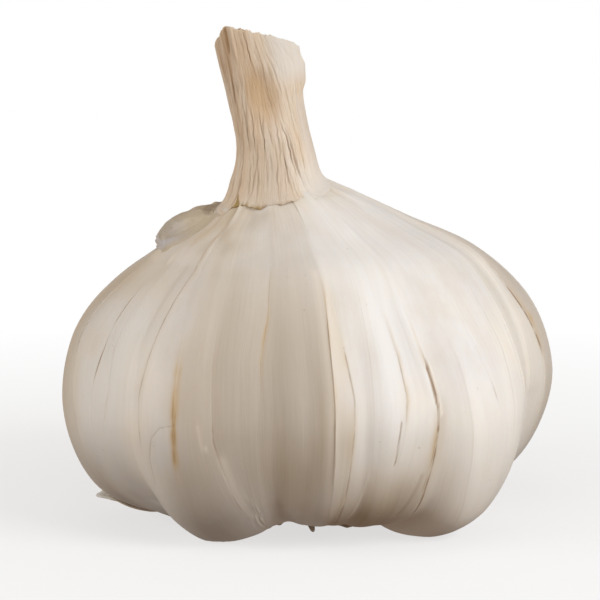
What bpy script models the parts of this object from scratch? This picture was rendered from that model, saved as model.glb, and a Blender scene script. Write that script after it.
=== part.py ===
"""A garlic bulb: cloves wrapped in papery skin, with its dried neck, root plate and torn outer skins.

Lengths are in millimetres until a mesh is made, and azimuths are in degrees: 0 is +X, 90 is +Y.
The bulb's skin is a surface over azimuth and station. A station is a place on the bulb's side
profile, from 0 at the middle of the hollow underneath, through 5 at the belly, to 12 on top.
"""

import math
import random

import bmesh
import bpy
import numpy as np
from mathutils import Matrix, Vector

MM = 0.001
GAP = 0.35  # clearance between pieces that touch on the real bulb
SHEET = 0.6  # thickness of a loose outer skin

# The parts are made about the root plate's axis, then moved so that the whole box is centred.
PLACE = (-1.0, -0.2)

# The bulb. Its axis leans as it rises from the root plate to the neck, and it is higher on the +X side.
LEAN = (-3.0, 0.0)
HOLLOW_R, HOLLOW_Z = 6.6, 4.9
FOOT_R = 17.0
SHOULDER_R, SHOULDER_Z = 20.3, 32.3
SLOPE_R, SLOPE_Z = 14.6, 35.1
COLLAR_R, COLLAR_Z = 9.0, 38.1
STUB_R, STUB_Z = 5.9, 40.4
TOP_R, TOP_Z = 4.2, 42.4

# One row for each clove: azimuth, reach of its belly from the axis, height of its belly, height of
# its foot (below 0 is pressed flat), fullness of its heel, depth of the groove to the next clove,
# and where that groove lies between their crests.
CLOVES = (
    (12.0, 31.5, 16.5, 0.9, 0.31, 3.0, 0.5),
    (58.0, 28.8, 16.0, -0.3, 0.30, 3.4, 0.5),
    (104.0, 28.4, 15.5, -0.3, 0.30, 3.4, 0.5),
    (150.0, 29.2, 15.0, -0.3, 0.30, 3.2, 0.42),
    (200.0, 29.8, 14.5, 1.5, 0.20, 1.9, 0.75),
    (235.0, 28.9, 14.0, -0.4, 0.24, 1.9, 0.63),
    (279.0, 27.3, 14.5, 2.2, 0.24, 0.3, 0.5),
    (292.0, 27.8, 14.5, 1.9, 0.22, 1.2, 0.45),
    (319.0, 30.2, 14.0, -0.3, 0.19, 3.8, 0.5),
)
AZIMUTH, REACH, BELLY_Z, FOOT_Z, HEEL, GROOVE, GROOVE_AT = range(7)
GROOVE_BY_STATION = (0, 0, 0.3, 0.65, 1.0, 0.85, 0.45, 0.12, 0.03, 0, 0, 0, 0)
STATIONS = len(GROOVE_BY_STATION)
ROWS_BY_SPAN = (1, 1, 3, 3, 4, 4, 4, 3, 2, 1, 1, 1)  # mesh rows from each station to the next

# Laps: where one strip of skin overlies the next, a small step that runs from root to neck. Each has an
# azimuth, a height, and a side that is +1 where it steps up towards rising azimuth. These are the
# front's, and the two highest are free edges. Round the back they are spaced unevenly.
FRONT_LAPS = (
    (191.0, 0.25, 1),
    (203.0, 0.20, -1),
    (212.0, 0.30, 1),
    (221.0, 0.20, 1),
    (230.0, 0.40, 1),
    (240.0, 0.22, -1),
    (249.0, 0.40, -1),
    (261.0, 0.22, 1),
    (270.0, 0.18, -1),
    (278.5, 0.65, -1),
    (284.5, 0.25, -1),
    (289.5, 0.20, 1),
    (294.5, 0.35, 1),
    (303.5, 0.70, -1),
    (312.5, 0.35, 1),
    (318.5, 0.25, 1),
    (326.0, 0.20, -1),
    (334.5, 0.25, 1),
    (344.0, 0.20, 1),
    (355.0, 0.35, 1),
    (364.0, 0.25, -1),
)
BACK_LAPS = 16
LAP_SEED = 7
LAP_HEIGHT = (0.16, 0.36)
LAP_DECAY = 4.5  # degrees over which a lap sinks back into the skin
LAP_STEP = 0.35  # degrees over which it rises
LAP_BY_STATION = (0, 0, 0, 0, 0.7, 1.0, 1.0, 0.85, 0.6, 0.3, 0, 0, 0)
COLUMNS_PER_LAP = 4


def ease(x):
    x = np.clip(x, 0.0, 1.0)
    return x * x * (3 - 2 * x)


def turn_between(azimuth, start):
    """The angle from start to azimuth, from -180 to 180."""
    return (np.asarray(azimuth, float) - start + 180.0) % 360.0 - 180.0


def round_values(azimuth, knots):
    """Eased values round a full turn, from knots of (azimuth, value) in rising azimuth."""
    azimuths = np.array([k[0] for k in knots], float)
    values = np.array([k[1] for k in knots], float)
    turned = (np.asarray(azimuth, float) - azimuths[0]) % 360.0
    after = np.append(azimuths - azimuths[0], 360.0)
    index = np.clip(np.searchsorted(after, turned, side="right") - 1, 0, len(knots) - 1)
    share = (turned - after[index]) / (after[index + 1] - after[index])
    ahead = values[(index + 1) % len(knots)]
    return values[index] + (ahead - values[index]) * ease(share)


def clove_values(azimuth, field):
    return round_values(azimuth, [(clove[AZIMUTH], clove[field]) for clove in CLOVES])


def groove_depth(azimuth):
    """How far the skin sinks between two cloves: 0 on a clove's crest."""
    crests, depths, places = (np.array([clove[k] for clove in CLOVES]) for k in (AZIMUTH, GROOVE, GROOVE_AT))
    turned = (np.asarray(azimuth, float) - crests[0]) % 360.0
    after = np.append(crests - crests[0], 360.0)
    index = np.clip(np.searchsorted(after, turned, side="right") - 1, 0, len(CLOVES) - 1)
    share = (turned - after[index]) / (after[index + 1] - after[index])
    place = places[index]
    nearness = np.where(share < place, share / place, (1.0 - share) / (1.0 - place))
    bridged = 1.0 - np.sqrt((1.0 - nearness) ** 2 + 0.1**2) + 0.1
    return depths[index] * bridged**2.3


def profile_controls(azimuth):
    """The side profile's control points (radius, height) at each azimuth, one for each station."""
    azimuth = np.asarray(azimuth, float)
    reach = clove_values(azimuth, REACH)
    belly = clove_values(azimuth, BELLY_Z)
    foot = clove_values(azimuth, FOOT_Z)
    heel = clove_values(azimuth, HEEL)
    right = np.cos(np.radians(azimuth))
    same = np.ones_like(azimuth)
    controls = (
        (0 * same, HOLLOW_Z * same),
        (HOLLOW_R * same, (HOLLOW_Z - 0.1) * same),
        (0.66 * FOOT_R * same, foot + 1.6),
        (FOOT_R * same, foot),
        (0.85 * reach, foot + heel * (belly - foot)),
        (reach, belly),
        (0.93 * reach, belly + 9.0),
        (SHOULDER_R + 2.3 * right, SHOULDER_Z + 0.4 * right),
        (SLOPE_R * same, SLOPE_Z + 1.6 * right),
        (COLLAR_R * same, COLLAR_Z + 1.7 * right),
        (STUB_R * same, STUB_Z + 0.9 * right),
        (TOP_R * same, TOP_Z * same),
        (0 * same, (TOP_Z + 0.2) * same),
    )
    return np.moveaxis(np.array(controls), 2, 0)


def profile(azimuth, station):
    """Smooth curve through the controls: points and outward normals, (stations, azimuths, 2)."""
    controls = profile_controls(azimuth)
    steps = np.diff(controls, axis=1)
    lengths = np.linalg.norm(steps, axis=2, keepdims=True)
    slopes = steps / lengths
    tangents = np.empty_like(controls)
    before, after = lengths[:, :-1], lengths[:, 1:]
    tangents[:, 1:-1] = (slopes[:, 1:] * before + slopes[:, :-1] * after) / (before + after)
    tangents[:, 0] = (1.0, 0.0)
    tangents[:, -1] = (-1.0, 0.0)
    points, normals = [], []
    for s in np.atleast_1d(station):
        i = int(min(max(math.floor(s), 0), STATIONS - 2))
        t = s - i
        span = lengths[:, i]
        p, q = controls[:, i], controls[:, i + 1]
        m, n = tangents[:, i] * span, tangents[:, i + 1] * span
        point = (
            p * (2 * t**3 - 3 * t**2 + 1)
            + m * (t**3 - 2 * t**2 + t)
            + q * (3 * t**2 - 2 * t**3)
            + n * (t**3 - t**2)
        )
        along = (
            p * (6 * t**2 - 6 * t) + m * (3 * t**2 - 4 * t + 1) + q * (6 * t - 6 * t**2) + n * (3 * t**2 - 2 * t)
        )
        along = along / np.maximum(np.linalg.norm(along, axis=1, keepdims=True), 1e-9)
        points.append(point)
        normals.append(np.stack([along[:, 1], -along[:, 0]], axis=1))
    return np.array(points), np.array(normals)


def by_station(values, station):
    return np.interp(station, range(STATIONS), values)


def make_laps():
    """(azimuth, height, side) of each lap all the way round, in rising azimuth."""
    rng = random.Random(LAP_SEED)
    start, end = FRONT_LAPS[-1][0], FRONT_LAPS[0][0] + 360.0
    pitch = (end - start) / (BACK_LAPS + 1)
    laps = list(FRONT_LAPS)
    for i in range(BACK_LAPS):
        azimuth = start + (i + 1 + rng.uniform(-0.25, 0.25)) * pitch
        laps.append((azimuth, rng.uniform(*LAP_HEIGHT), rng.choice((-1, 1))))
    return laps


def lap_relief(azimuth, laps):
    relief = np.zeros_like(np.asarray(azimuth, float))
    for edge, height, side in laps:
        beyond = turn_between(azimuth, edge) * side
        rise = ease(beyond / LAP_STEP + 0.5)
        relief += height * rise * np.exp(-np.maximum(beyond, 0.0) / LAP_DECAY)
    return relief


def bulb_surface(azimuth, station, laps=()):
    """Points and outward normals of the bulb's skin, each (stations, azimuths, 3)."""
    azimuth = np.asarray(azimuth, float)
    station = np.atleast_1d(np.asarray(station, float))
    points, normals = profile(azimuth, station)
    sunk = groove_depth(azimuth)[None, :] * by_station(GROOVE_BY_STATION, station)[:, None]
    raised = lap_relief(azimuth, laps)[None, :] * by_station(LAP_BY_STATION, station)[:, None]
    points = points + normals * (raised - sunk)[..., None]
    lean = ease((station - 5.0) / 5.0)[:, None]
    cos, sin = np.cos(np.radians(azimuth)), np.sin(np.radians(azimuth))
    x = points[..., 0] * cos + LEAN[0] * lean
    y = points[..., 0] * sin + LEAN[1] * lean
    z = np.maximum(points[..., 1], 0.0)
    out = np.stack([normals[..., 0] * cos, normals[..., 0] * sin, normals[..., 1]], axis=2)
    return np.stack([x, y, z], axis=2), out


def lap_columns(laps):
    """Azimuths of the mesh's columns: one on each side of every lap's step, the rest between."""
    edges = [lap[0] for lap in laps]
    columns = []
    for edge, following in zip(edges, [*edges[1:], edges[0] + 360.0]):
        start, end = edge + 0.5 * LAP_STEP, following - 0.5 * LAP_STEP
        columns.append(edge - 0.5 * LAP_STEP)
        inner = COLUMNS_PER_LAP - 1
        columns += [start + (end - start) * k / inner for k in range(inner)]
    return np.array(columns)


def rows_of_stations():
    stations = []
    for i, rows in enumerate(ROWS_BY_SPAN):
        stations += [i + k / rows for k in range(rows)]
    return np.array(stations[1:])


def add_object(name, bm, material, smooth_angle=40.0):
    mesh = bpy.data.meshes.new(name)
    bmesh.ops.recalc_face_normals(bm, faces=bm.faces)
    bm.to_mesh(mesh)
    bm.free()
    mesh.materials.append(material)
    mesh.shade_smooth()
    mesh.set_sharp_from_angle(angle=math.radians(smooth_angle))
    obj = bpy.data.objects.new(name, mesh)
    bpy.context.scene.collection.objects.link(obj)
    return obj


def add_rings(bm, rings):
    """Verts for each ring of points, with faces between each ring and the next."""
    made = [[bm.verts.new(Vector(p) * MM) for p in ring] for ring in rings]
    for lower, upper in zip(made, made[1:]):
        count = len(lower)
        for i in range(count):
            j = (i + 1) % count
            bm.faces.new((lower[i], lower[j], upper[j], upper[i]))
    return made


def cap_ring(bm, ring, point):
    centre = bm.verts.new(Vector(point) * MM)
    for i, vert in enumerate(ring):
        bm.faces.new((vert, ring[(i + 1) % len(ring)], centre))


def make_bulb(material):
    laps = make_laps()
    rings, _ = bulb_surface(lap_columns(laps), rows_of_stations(), laps)
    bm = bmesh.new()
    made = add_rings(bm, rings)
    cap_ring(bm, made[0], (0.0, 0.0, HOLLOW_Z))
    cap_ring(bm, made[-1], (*LEAN, TOP_Z + 0.2))
    return add_object("bulb", bm, material)


# The neck: dried leaf sheaths, cut across above the bulb.
NECK_COLUMNS = 66
NECK_HEM = ((0.0, 10.15), (90.0, 9.8), (180.0, 9.8), (262.0, 9.5))  # station of its torn hem on the bulb
HEM_THICKNESS = 0.5
# Height, centre in X, half width in X and half depth in Y.
NECK_SECTIONS = (
    (39.5, -3.0, 6.0, 6.0),
    (42.5, -3.0, 5.25, 5.2),
    (45.0, -3.2, 4.85, 4.5),
    (48.0, -3.75, 4.6, 4.0),
    (52.0, -4.6, 4.6, 3.6),
    (55.0, -5.0, 5.0, 3.4),
    (58.0, -5.7, 5.0, 3.2),
    (61.0, -6.3, 5.0, 3.1),
)
NECK_RIM = ((0.0, 57.8), (60.0, 57.6), (125.0, 57.8), (180.0, 57.4), (222.0, 59.8), (255.0, 59.4), (315.0, 58.5))
NECK_ROWS = (0.0, 0.05, 0.11, 0.18, 0.26, 0.34, 0.42, 0.5, 0.58, 0.66, 0.74, 0.82, 0.9, 0.96, 1.0)
# The cut end, from the rim inwards: share of the half width left, and depth below the rim.
NECK_END = ((0.93, -0.05), (0.80, 0.0), (0.76, 1.6), (0.60, 1.7), (0.56, 0.5), (0.44, 0.55), (0.40, 1.9), (0.2, 1.7))
# Azimuth, half its width in degrees, height, half its height, and relief (below 0 is sunk).
NECK_MARKS = ((227.0, 11.0, 55.0, 6.0, -0.75), (272.0, 30.0, 53.5, 3.6, -0.5), (5.0, 22.0, 54.6, 2.6, 0.5))
FOLD_COUNT = 17
FOLD_DEPTH = 0.3
FOLD_SEED = 3


def neck_folds(azimuth, z):
    """Lengthwise folds of the neck: waves whose crests wander as they climb."""
    rng = random.Random(FOLD_SEED)
    depth = np.zeros(np.broadcast(azimuth, z).shape)
    for share, count in ((0.6, FOLD_COUNT), (0.4, FOLD_COUNT + 6)):
        phase, drift = rng.uniform(0, 360), rng.uniform(10, 25)
        wander = drift * np.sin((z - 38.0) / 20.0 * math.tau * rng.uniform(0.5, 0.9) + phase)
        depth += share * np.abs(np.sin(np.radians(count * azimuth * 0.5 + wander + phase)))
    return FOLD_DEPTH * (depth - 0.5)


def neck_marks(azimuth, z):
    """The neck's larger marks: a crease, a smooth dent, and a sheath edge that stands proud."""
    relief = np.zeros(np.broadcast(azimuth, z).shape)
    for middle, half_turn, height, half_height, depth in NECK_MARKS:
        across = 1.0 - np.abs(turn_between(azimuth, middle)) / half_turn
        up = 1.0 - np.abs(z - height) / half_height
        relief += depth * ease(across) * ease(1.6 * np.clip(up, 0, 1))
    return relief


def neck_section(z):
    heights = [s[0] for s in NECK_SECTIONS]
    return [np.interp(z, heights, [s[k] for s in NECK_SECTIONS]) for k in (1, 2, 3)]


def neck_ring(azimuth, z, share=1.0, folds=1.0):
    centre, wide, deep = neck_section(z)
    cos, sin = np.cos(np.radians(azimuth)), np.sin(np.radians(azimuth))
    radius = 1.0 / np.sqrt((cos / wide) ** 2 + (sin / deep) ** 2)
    radius = radius * share + (neck_folds(azimuth, z) + neck_marks(azimuth, z)) * folds
    return np.stack([centre + radius * cos, radius * sin, z * np.ones_like(cos)], axis=-1)


def make_neck(material):
    azimuth = np.arange(NECK_COLUMNS) * 360.0 / NECK_COLUMNS
    rng = random.Random(FOLD_SEED)
    ragged = np.array([rng.uniform(-0.12, 0.12) for _ in azimuth])
    inside = []
    for station in (11.5, 11.0, 10.7, 10.4):
        points, normals = bulb_surface(azimuth, station)
        inside.append(points[0] + GAP * normals[0])
    hem_station = round_values(azimuth, NECK_HEM) + ragged
    hem = [bulb_surface([a], s) for a, s in zip(azimuth, hem_station)]
    hem_points = np.array([p[0, 0] for p, _ in hem])
    hem_normals = np.array([n[0, 0] for _, n in hem])
    inside.append(hem_points + GAP * hem_normals)
    outside = hem_points + (GAP + HEM_THICKNESS) * hem_normals
    rim = round_values(azimuth, NECK_RIM) + 2.0 * ragged
    rings = list(inside)
    for share in NECK_ROWS:
        z = outside[:, 2] + (rim - outside[:, 2]) * share
        grown = neck_ring(azimuth, z, folds=ease(share / 0.15))
        blend = float(ease(share / 0.16))
        rings.append(outside * (1 - blend) + grown * blend)
    for share, depth in NECK_END:
        rings.append(neck_ring(azimuth, rim - depth, share, folds=0.5 * share))
    bm = bmesh.new()
    made = add_rings(bm, rings)
    cap_ring(bm, made[0], (*LEAN, TOP_Z + 0.2 + GAP))
    last = np.mean(rings[-1], axis=0)
    cap_ring(bm, made[-1], last - np.array([0, 0, 0.2]))
    return add_object("neck", bm, material, 50.0)


# The root plate: a corky disc in the hollow, with dried roots cut short.
PLATE_R, PLATE_TOP, PLATE_BOTTOM = 6.1, 4.2, 2.1
PLATE_SIDES = 28
ROOT_RINGS = ((0.9, 3), (2.4, 7), (3.9, 12), (5.1, 16))  # distance from the middle, and count
ROOT_R, ROOT_SIDES = 0.42, 5
ROOT_LENGTH = (1.9, 2.5)
ROOT_SEED = 11


def plate_profile():
    return (
        (0.55 * PLATE_R, PLATE_TOP),
        (0.92 * PLATE_R, PLATE_TOP - 0.1),
        (PLATE_R, PLATE_TOP - 0.6),
        (0.97 * PLATE_R, PLATE_BOTTOM + 0.5),
        (0.85 * PLATE_R, PLATE_BOTTOM),
        (0.5 * PLATE_R, PLATE_BOTTOM - 0.1),
    )


def make_root(rng, distance, azimuth, collection):
    """One cut root: a tapering five-sided stub, sunk well into the plate and splayed outwards."""
    length = rng.uniform(*ROOT_LENGTH)
    bm = bmesh.new()
    bmesh.ops.create_cone(
        bm, cap_ends=True, segments=ROOT_SIDES, radius1=ROOT_R * MM, radius2=0.7 * ROOT_R * MM, depth=length * MM
    )
    splay = Matrix.Rotation(math.radians(6.0 * distance / 2 + rng.uniform(-6, 6)), 4, "Y")
    down = Matrix.Rotation(math.pi, 4, "Y")
    place = Matrix.Translation(Vector((distance, 0, PLATE_BOTTOM + 0.5 - 0.5 * length)) * MM)
    about = Matrix.Rotation(math.radians(azimuth), 4, "Z")
    bm.transform(about @ place @ splay.inverted() @ down)
    mesh = bpy.data.meshes.new("root")
    bm.to_mesh(mesh)
    bm.free()
    collection.objects.link(bpy.data.objects.new("root", mesh))


def join_collection(obj, collection):
    """Unites a collection's objects with obj, applies the union, and removes them."""
    union = obj.modifiers.new("union", "BOOLEAN")
    union.operation = "UNION"
    union.operand_type = "COLLECTION"
    union.collection = collection
    graph = bpy.context.evaluated_depsgraph_get()
    joined = bpy.data.meshes.new_from_object(obj.evaluated_get(graph))
    obj.modifiers.clear()
    obj.data = joined
    for piece in list(collection.objects):
        bpy.data.objects.remove(piece)
    bpy.data.collections.remove(collection)


def make_root_plate(material):
    bm = bmesh.new()
    rings = []
    for radius, z in plate_profile():
        turn = [math.tau * i / PLATE_SIDES for i in range(PLATE_SIDES)]
        rings.append([(radius * math.cos(a), radius * math.sin(a), z) for a in turn])
    made = add_rings(bm, rings)
    cap_ring(bm, made[0], (0, 0, PLATE_TOP))
    cap_ring(bm, made[-1], (0, 0, PLATE_BOTTOM - 0.1))
    plate = add_object("root_plate", bm, material)
    roots = bpy.data.collections.new("roots")
    bpy.context.scene.collection.children.link(roots)
    rng = random.Random(ROOT_SEED)
    for distance, count in ROOT_RINGS:
        for i in range(count):
            make_root(rng, distance, 360.0 * i / count + rng.uniform(-5, 5), roots)
    join_collection(plate, roots)
    return plate


# The base skin: what is left of an outer skin round the root plate, torn into tongues.
BASE_COLUMNS = 80
BASE_INNER_R = 6.95
BASE_ROWS = (0.0, 0.3, 0.65, 1.0)
BASE_HEM_R = 9.3
BASE_TONGUES = ((195.0, 17.0, 15.0), (271.0, 6.6, 6.5), (318.0, 4.5, 4.0))  # azimuth, length, half width
BASE_LIE = 1.25  # height at which the tongues' upper face lies
BASE_CURL = 0.44  # how steeply a tongue curls up beyond the feet
BASE_SPREAD = 3.5  # degrees each way over which it keeps clear of the bulb
BASE_SEED = 5


def underside(azimuth, radius):
    """Lowest height of the bulb's underside near this azimuth, at this distance from the axis."""
    near = [azimuth + turn for turn in (-BASE_SPREAD, 0.0, BASE_SPREAD)]
    points, _ = bulb_surface(near, np.linspace(0.9, 5.0, 60))
    distance = np.hypot(points[..., 0], points[..., 1])
    return min(float(np.interp(radius, distance[:, i], points[:, i, 2])) for i in range(len(near)))


def base_edge(azimuth, rng):
    radius = BASE_HEM_R + rng.uniform(-0.5, 0.5)
    for middle, length, half in BASE_TONGUES:
        radius += length * float(ease(1.0 - abs(turn_between(azimuth, middle)) / half))
    return radius


def make_base_skin(material):
    rng = random.Random(BASE_SEED)
    upper = [[] for _ in BASE_ROWS]
    for i in range(BASE_COLUMNS):
        azimuth = 360.0 * i / BASE_COLUMNS
        edge = base_edge(azimuth, rng)
        cos, sin = math.cos(math.radians(azimuth)), math.sin(math.radians(azimuth))
        for row, share in zip(upper, BASE_ROWS):
            radius = BASE_INNER_R + (edge - BASE_INNER_R) * share
            beyond = max(radius - FOOT_R, 0.0)
            clear = underside(azimuth, radius) - GAP - LAP_HEIGHT[1] * float(ease(beyond / 3.0))
            lie = BASE_LIE + 2.4 * float(ease((FOOT_R - 3.0 - radius) / 6.0)) + BASE_CURL * beyond
            row.append((radius * cos, radius * sin, max(min(clear, lie), SHEET)))
    lower = [[(x, y, z - SHEET) for x, y, z in row] for row in upper]
    rings = [*reversed(lower), *upper]
    bm = bmesh.new()
    made = add_rings(bm, rings)
    for i in range(BASE_COLUMNS):
        j = (i + 1) % BASE_COLUMNS
        bm.faces.new((made[-1][i], made[-1][j], made[0][j], made[0][i]))
    return add_object("base_skin", bm, material)


# The shoulder skin: a torn outer skin that spans from the neck to the shoulder.
FLAP_AZIMUTHS = (134.0, 190.0)
FLAP_STATIONS = (9.3, 7.45)
FLAP_COLUMNS, FLAP_ROWS = 18, 8
FLAP_LIFT = 1.4  # how far its middle stands off
FLAP_SEED = 9


def make_shoulder_skin(material):
    rng = random.Random(FLAP_SEED)
    lower, upper = [], []
    for i in range(FLAP_COLUMNS):
        across = i / (FLAP_COLUMNS - 1)
        azimuth = FLAP_AZIMUTHS[0] + (FLAP_AZIMUTHS[1] - FLAP_AZIMUTHS[0]) * across
        end = FLAP_STATIONS[1] + rng.uniform(-0.06, 0.06) + 0.5 * abs(2 * across - 1) ** 3
        points, normals = bulb_surface([azimuth], np.linspace(FLAP_STATIONS[0], end, FLAP_ROWS))
        bow = 1.0 - 0.9 * abs(2 * across - 1) ** 2.2
        lift = GAP + 0.25 + FLAP_LIFT * bow * np.sin(np.linspace(0, 0.86 * math.pi, FLAP_ROWS))[:, None]
        lower.append(points[:, 0] + normals[:, 0] * lift)
        upper.append(points[:, 0] + normals[:, 0] * (lift + SHEET))
    bm = bmesh.new()
    outline = [np.concatenate([low, top[::-1]]) for low, top in zip(lower, upper)]
    made = add_rings(bm, outline)
    for ring in (made[0], made[-1]):
        for k in range(FLAP_ROWS - 1):
            bm.faces.new((ring[k], ring[k + 1], ring[-2 - k], ring[-1 - k]))
    return add_object("shoulder_skin", bm, material)


def make_material(name, colour, roughness):
    material = bpy.data.materials.new(name)
    material.use_nodes = True
    shader = material.node_tree.nodes["Principled BSDF"]
    shader.inputs["Base Color"].default_value = (*colour, 1.0)
    shader.inputs["Roughness"].default_value = roughness
    shader.inputs["Metallic"].default_value = 0.0
    return material


def main():
    for obj in list(bpy.data.objects):
        bpy.data.objects.remove(obj)
    skin = make_material("bulb_skin", (0.80, 0.75, 0.67), 0.5)
    straw = make_material("neck_straw", (0.72, 0.60, 0.47), 0.7)
    cork = make_material("root_cork", (0.42, 0.33, 0.24), 0.85)
    torn = make_material("torn_skin", (0.66, 0.58, 0.50), 0.6)
    make_bulb(skin)
    make_neck(straw)
    make_root_plate(cork)
    make_base_skin(torn)
    make_shoulder_skin(torn)
    for obj in bpy.data.objects:
        obj.data.transform(Matrix.Translation((PLACE[0] * MM, PLACE[1] * MM, 0.0)))


main()
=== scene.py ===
"""The looks of the garlic bulb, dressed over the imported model.

Shapes are worked out in millimetres about the root plate's axis, and azimuths are in degrees: 0 is +X,
90 is +Y, away from the camera. The bulb's skin is a surface over azimuth and station, a place on its
side profile from 0 under the middle, through 5 at the belly, to 12 on top.
"""

import math
import random

import bpy
import numpy as np
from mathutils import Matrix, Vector


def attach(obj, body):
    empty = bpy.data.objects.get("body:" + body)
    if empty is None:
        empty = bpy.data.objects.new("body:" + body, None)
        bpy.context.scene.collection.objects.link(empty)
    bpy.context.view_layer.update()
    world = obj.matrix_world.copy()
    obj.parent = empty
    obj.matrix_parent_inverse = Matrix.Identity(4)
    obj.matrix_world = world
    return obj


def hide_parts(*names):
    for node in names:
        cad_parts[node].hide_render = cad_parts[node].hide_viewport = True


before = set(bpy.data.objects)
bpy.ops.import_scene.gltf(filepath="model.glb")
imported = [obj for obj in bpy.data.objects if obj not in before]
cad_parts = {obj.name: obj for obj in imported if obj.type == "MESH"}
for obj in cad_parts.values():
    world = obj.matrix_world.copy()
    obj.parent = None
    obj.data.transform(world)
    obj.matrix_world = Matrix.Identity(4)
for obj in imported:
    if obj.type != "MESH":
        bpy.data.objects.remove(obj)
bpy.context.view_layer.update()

MM = 0.001
PLACE = (-1, -0.2)  # the root plate's axis in the frame

# ---------------------------------------------------------------- the bulb's form, as in the solids
LEAN = (-3, 0)  # how far the top leans
LEAN_FROM, LEAN_SPAN = 5, 5  # the stations that it leans over
HOLLOW_R, HOLLOW_Z, HOLLOW_RIM_Z = 6.6, 4.9, 4.8
FOOT_R = 17
SOLE_SHARE, SOLE_RISE = 0.66, 1.6
HEEL_SHARE = 0.85
CHEST_SHARE, CHEST_RISE = 0.93, 9
CROWN_Z = 42.6
# From the shoulder to the stub: radius, height, and how much wider and higher it is on the right.
SLOPE = (
    (20.3, 32.3, 2.3, 0.4),
    (14.6, 35.1, 0, 1.6),
    (9, 38.1, 0, 1.7),
    (5.9, 40.4, 0, 0.9),
    (4.2, 42.4, 0, 0),
)
# Azimuth, reach, belly height, foot height, heel fullness, groove depth, and where the groove lies.
CLOVES = (
    (12, 31.5, 16.5, 0.9, 0.31, 3, 0.5),
    (58, 28.8, 16, -0.3, 0.3, 3.4, 0.5),
    (104, 28.4, 15.5, -0.3, 0.3, 3.4, 0.5),
    (150, 29.2, 15, -0.3, 0.3, 3.2, 0.42),
    (200, 29.8, 14.5, 1.5, 0.2, 1.9, 0.75),
    (235, 28.9, 14, -0.4, 0.24, 1.9, 0.63),
    (279, 27.3, 14.5, 2.2, 0.24, 0.3, 0.5),
    (292, 27.8, 14.5, 1.9, 0.22, 1.2, 0.45),
    (319, 30.2, 14, -0.3, 0.19, 3.8, 0.5),
)
AZIMUTH, REACH, BELLY_Z, FOOT_Z, HEEL, GROOVE, GROOVE_AT = range(7)
GROOVE_BY_STATION = (0, 0, 0.3, 0.65, 1, 0.85, 0.45, 0.12, 0.03, 0, 0, 0, 0)
GROOVE_ROUNDING, GROOVE_NARROWING = 0.1, 2.3
STATIONS = len(GROOVE_BY_STATION)
TOP_STATION = STATIONS - 1
STATION_TURN = 19  # degrees round the belly that are as long as one station

# Laps of the skin. Azimuth, height, side (+1 steps up towards rising azimuth), overhang in degrees,
# the strength of the brown line along it with the stations it runs between, the stations between
# which the lap is a crisp edge (beyond them it is a soft step), how tan the skin after it is, partly
# painted shade, and where it strays from its azimuth, as stations and azimuths.
FRONT_LAPS = (
    (191, 0.07, 1, 0.2, 0.35, 4.6, 7, 4, 8, 0.3, ()),
    (203, 0.05, -1, 0.2, 0.3, 4.6, 6.4, 4.2, 6.6, 0.04, ((5, 205), (6, 200))),
    (213.5, 0.08, 1, 0.2, 1, 5.3, 6.9, 4.6, 7, 0.05, ((5.5, 213), (6, 214), (7, 213))),
    (218.5, 0.04, 1, 0.1, 0.35, 4.7, 6.3, 4.2, 6.4, 0.05, ((5, 218), (5.5, 219), (6, 218))),
    (230, 0.06, 1, 0.2, 0.5, 4.6, 9.4, 5, 8.2, 0.12,
     ((5, 230), (5.5, 229), (7, 233), (8, 231), (9, 228))),
    (240, 0.05, -1, 0.1, 0.3, 4.6, 6, 4.6, 6, 0.42, ((4.5, 240), (6, 239.5))),
    (249, 0.04, -1, 0.1, 0.6, 3.8, 5.6, 4.5, 6.2, 0.74, ((4, 254), (5, 249), (6, 248))),
    (261, 0.02, 1, 0.1, 0.25, 5.9, 7.4, 5.4, 7.4, 0.95, ((6, 260), (6.5, 262), (7.5, 263))),
    (270, 0.08, -1, 0.1, 0, 4, 6, 5, 5.1, 1, ()),
    (278.5, 0.12, 1, 0.2, 0.45, 4.7, 6.9, 4.5, 6.6, 0.12,
     ((4, 277.5), (6, 278), (7.5, 278.5), (9, 284))),
    (282.5, 0.06, -1, 0.2, 0.8, 3.2, 6.5, 3.5, 6.8, 0.1, ((4, 280.5), (5.5, 282.5), (6.5, 280.5))),
    (288, 0.015, 1, 0.1, 0.15, 4.9, 6.8, 4.8, 7, 0.05, ((5, 287), (6, 288))),
    (295, 0.02, 1, 0.1, 0.45, 4.9, 6.5, 4.5, 6.5, 0,
     ((4.5, 292.5), (5, 294.5), (5.5, 296), (6, 295.5), (6.5, 294))),
    (303.5, 0.22, -1, 0.4, 2, 3.4, 6.2, 3.8, 6.2, 0.2,
     ((3.5, 302), (4.5, 300.5), (5.5, 303), (6.5, 300))),
    (312.5, 0.02, 1, 0.1, 0, 4.2, 6, 3.8, 6.4, 0, ((4, 314), (4.5, 312), (6, 311), (6.5, 308))),
    (319, 0.03, 1, 0.1, 0.4, 5, 6.5, 4.9, 6.6, 0.03, ((5, 321), (6, 318), (6.5, 316))),
    (327, 0.03, -1, 0.1, 0.3, 5.2, 6.5, 5, 6.6, 0.05, ((5, 326), (6, 328), (6.5, 326))),
    (335.5, 0.05, 1, 0.2, 0.2, 5.5, 7, 5.2, 7.4, 0.15, ()),
    (347.5, 0.05, 1, 0.2, 0.3, 4.8, 5.8, 4.8, 5.8, 0.32, ()),
    (355, 0.08, 1, 0.2, 1.2, 5.3, 7, 5, 7, 0.65, ((5.5, 355), (6.5, 352))),
    (364, 0.08, -1, 0.2, 0.2, 4.6, 6, 4.4, 6.2, 0.4, ()),
)
EDGE, HEIGHT, SIDE, LIP, STAIN, STAIN_LOW, STAIN_HIGH, CRISP_LOW, CRISP_HIGH, TONE_AND_SHADE, PATH = range(11)
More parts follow.
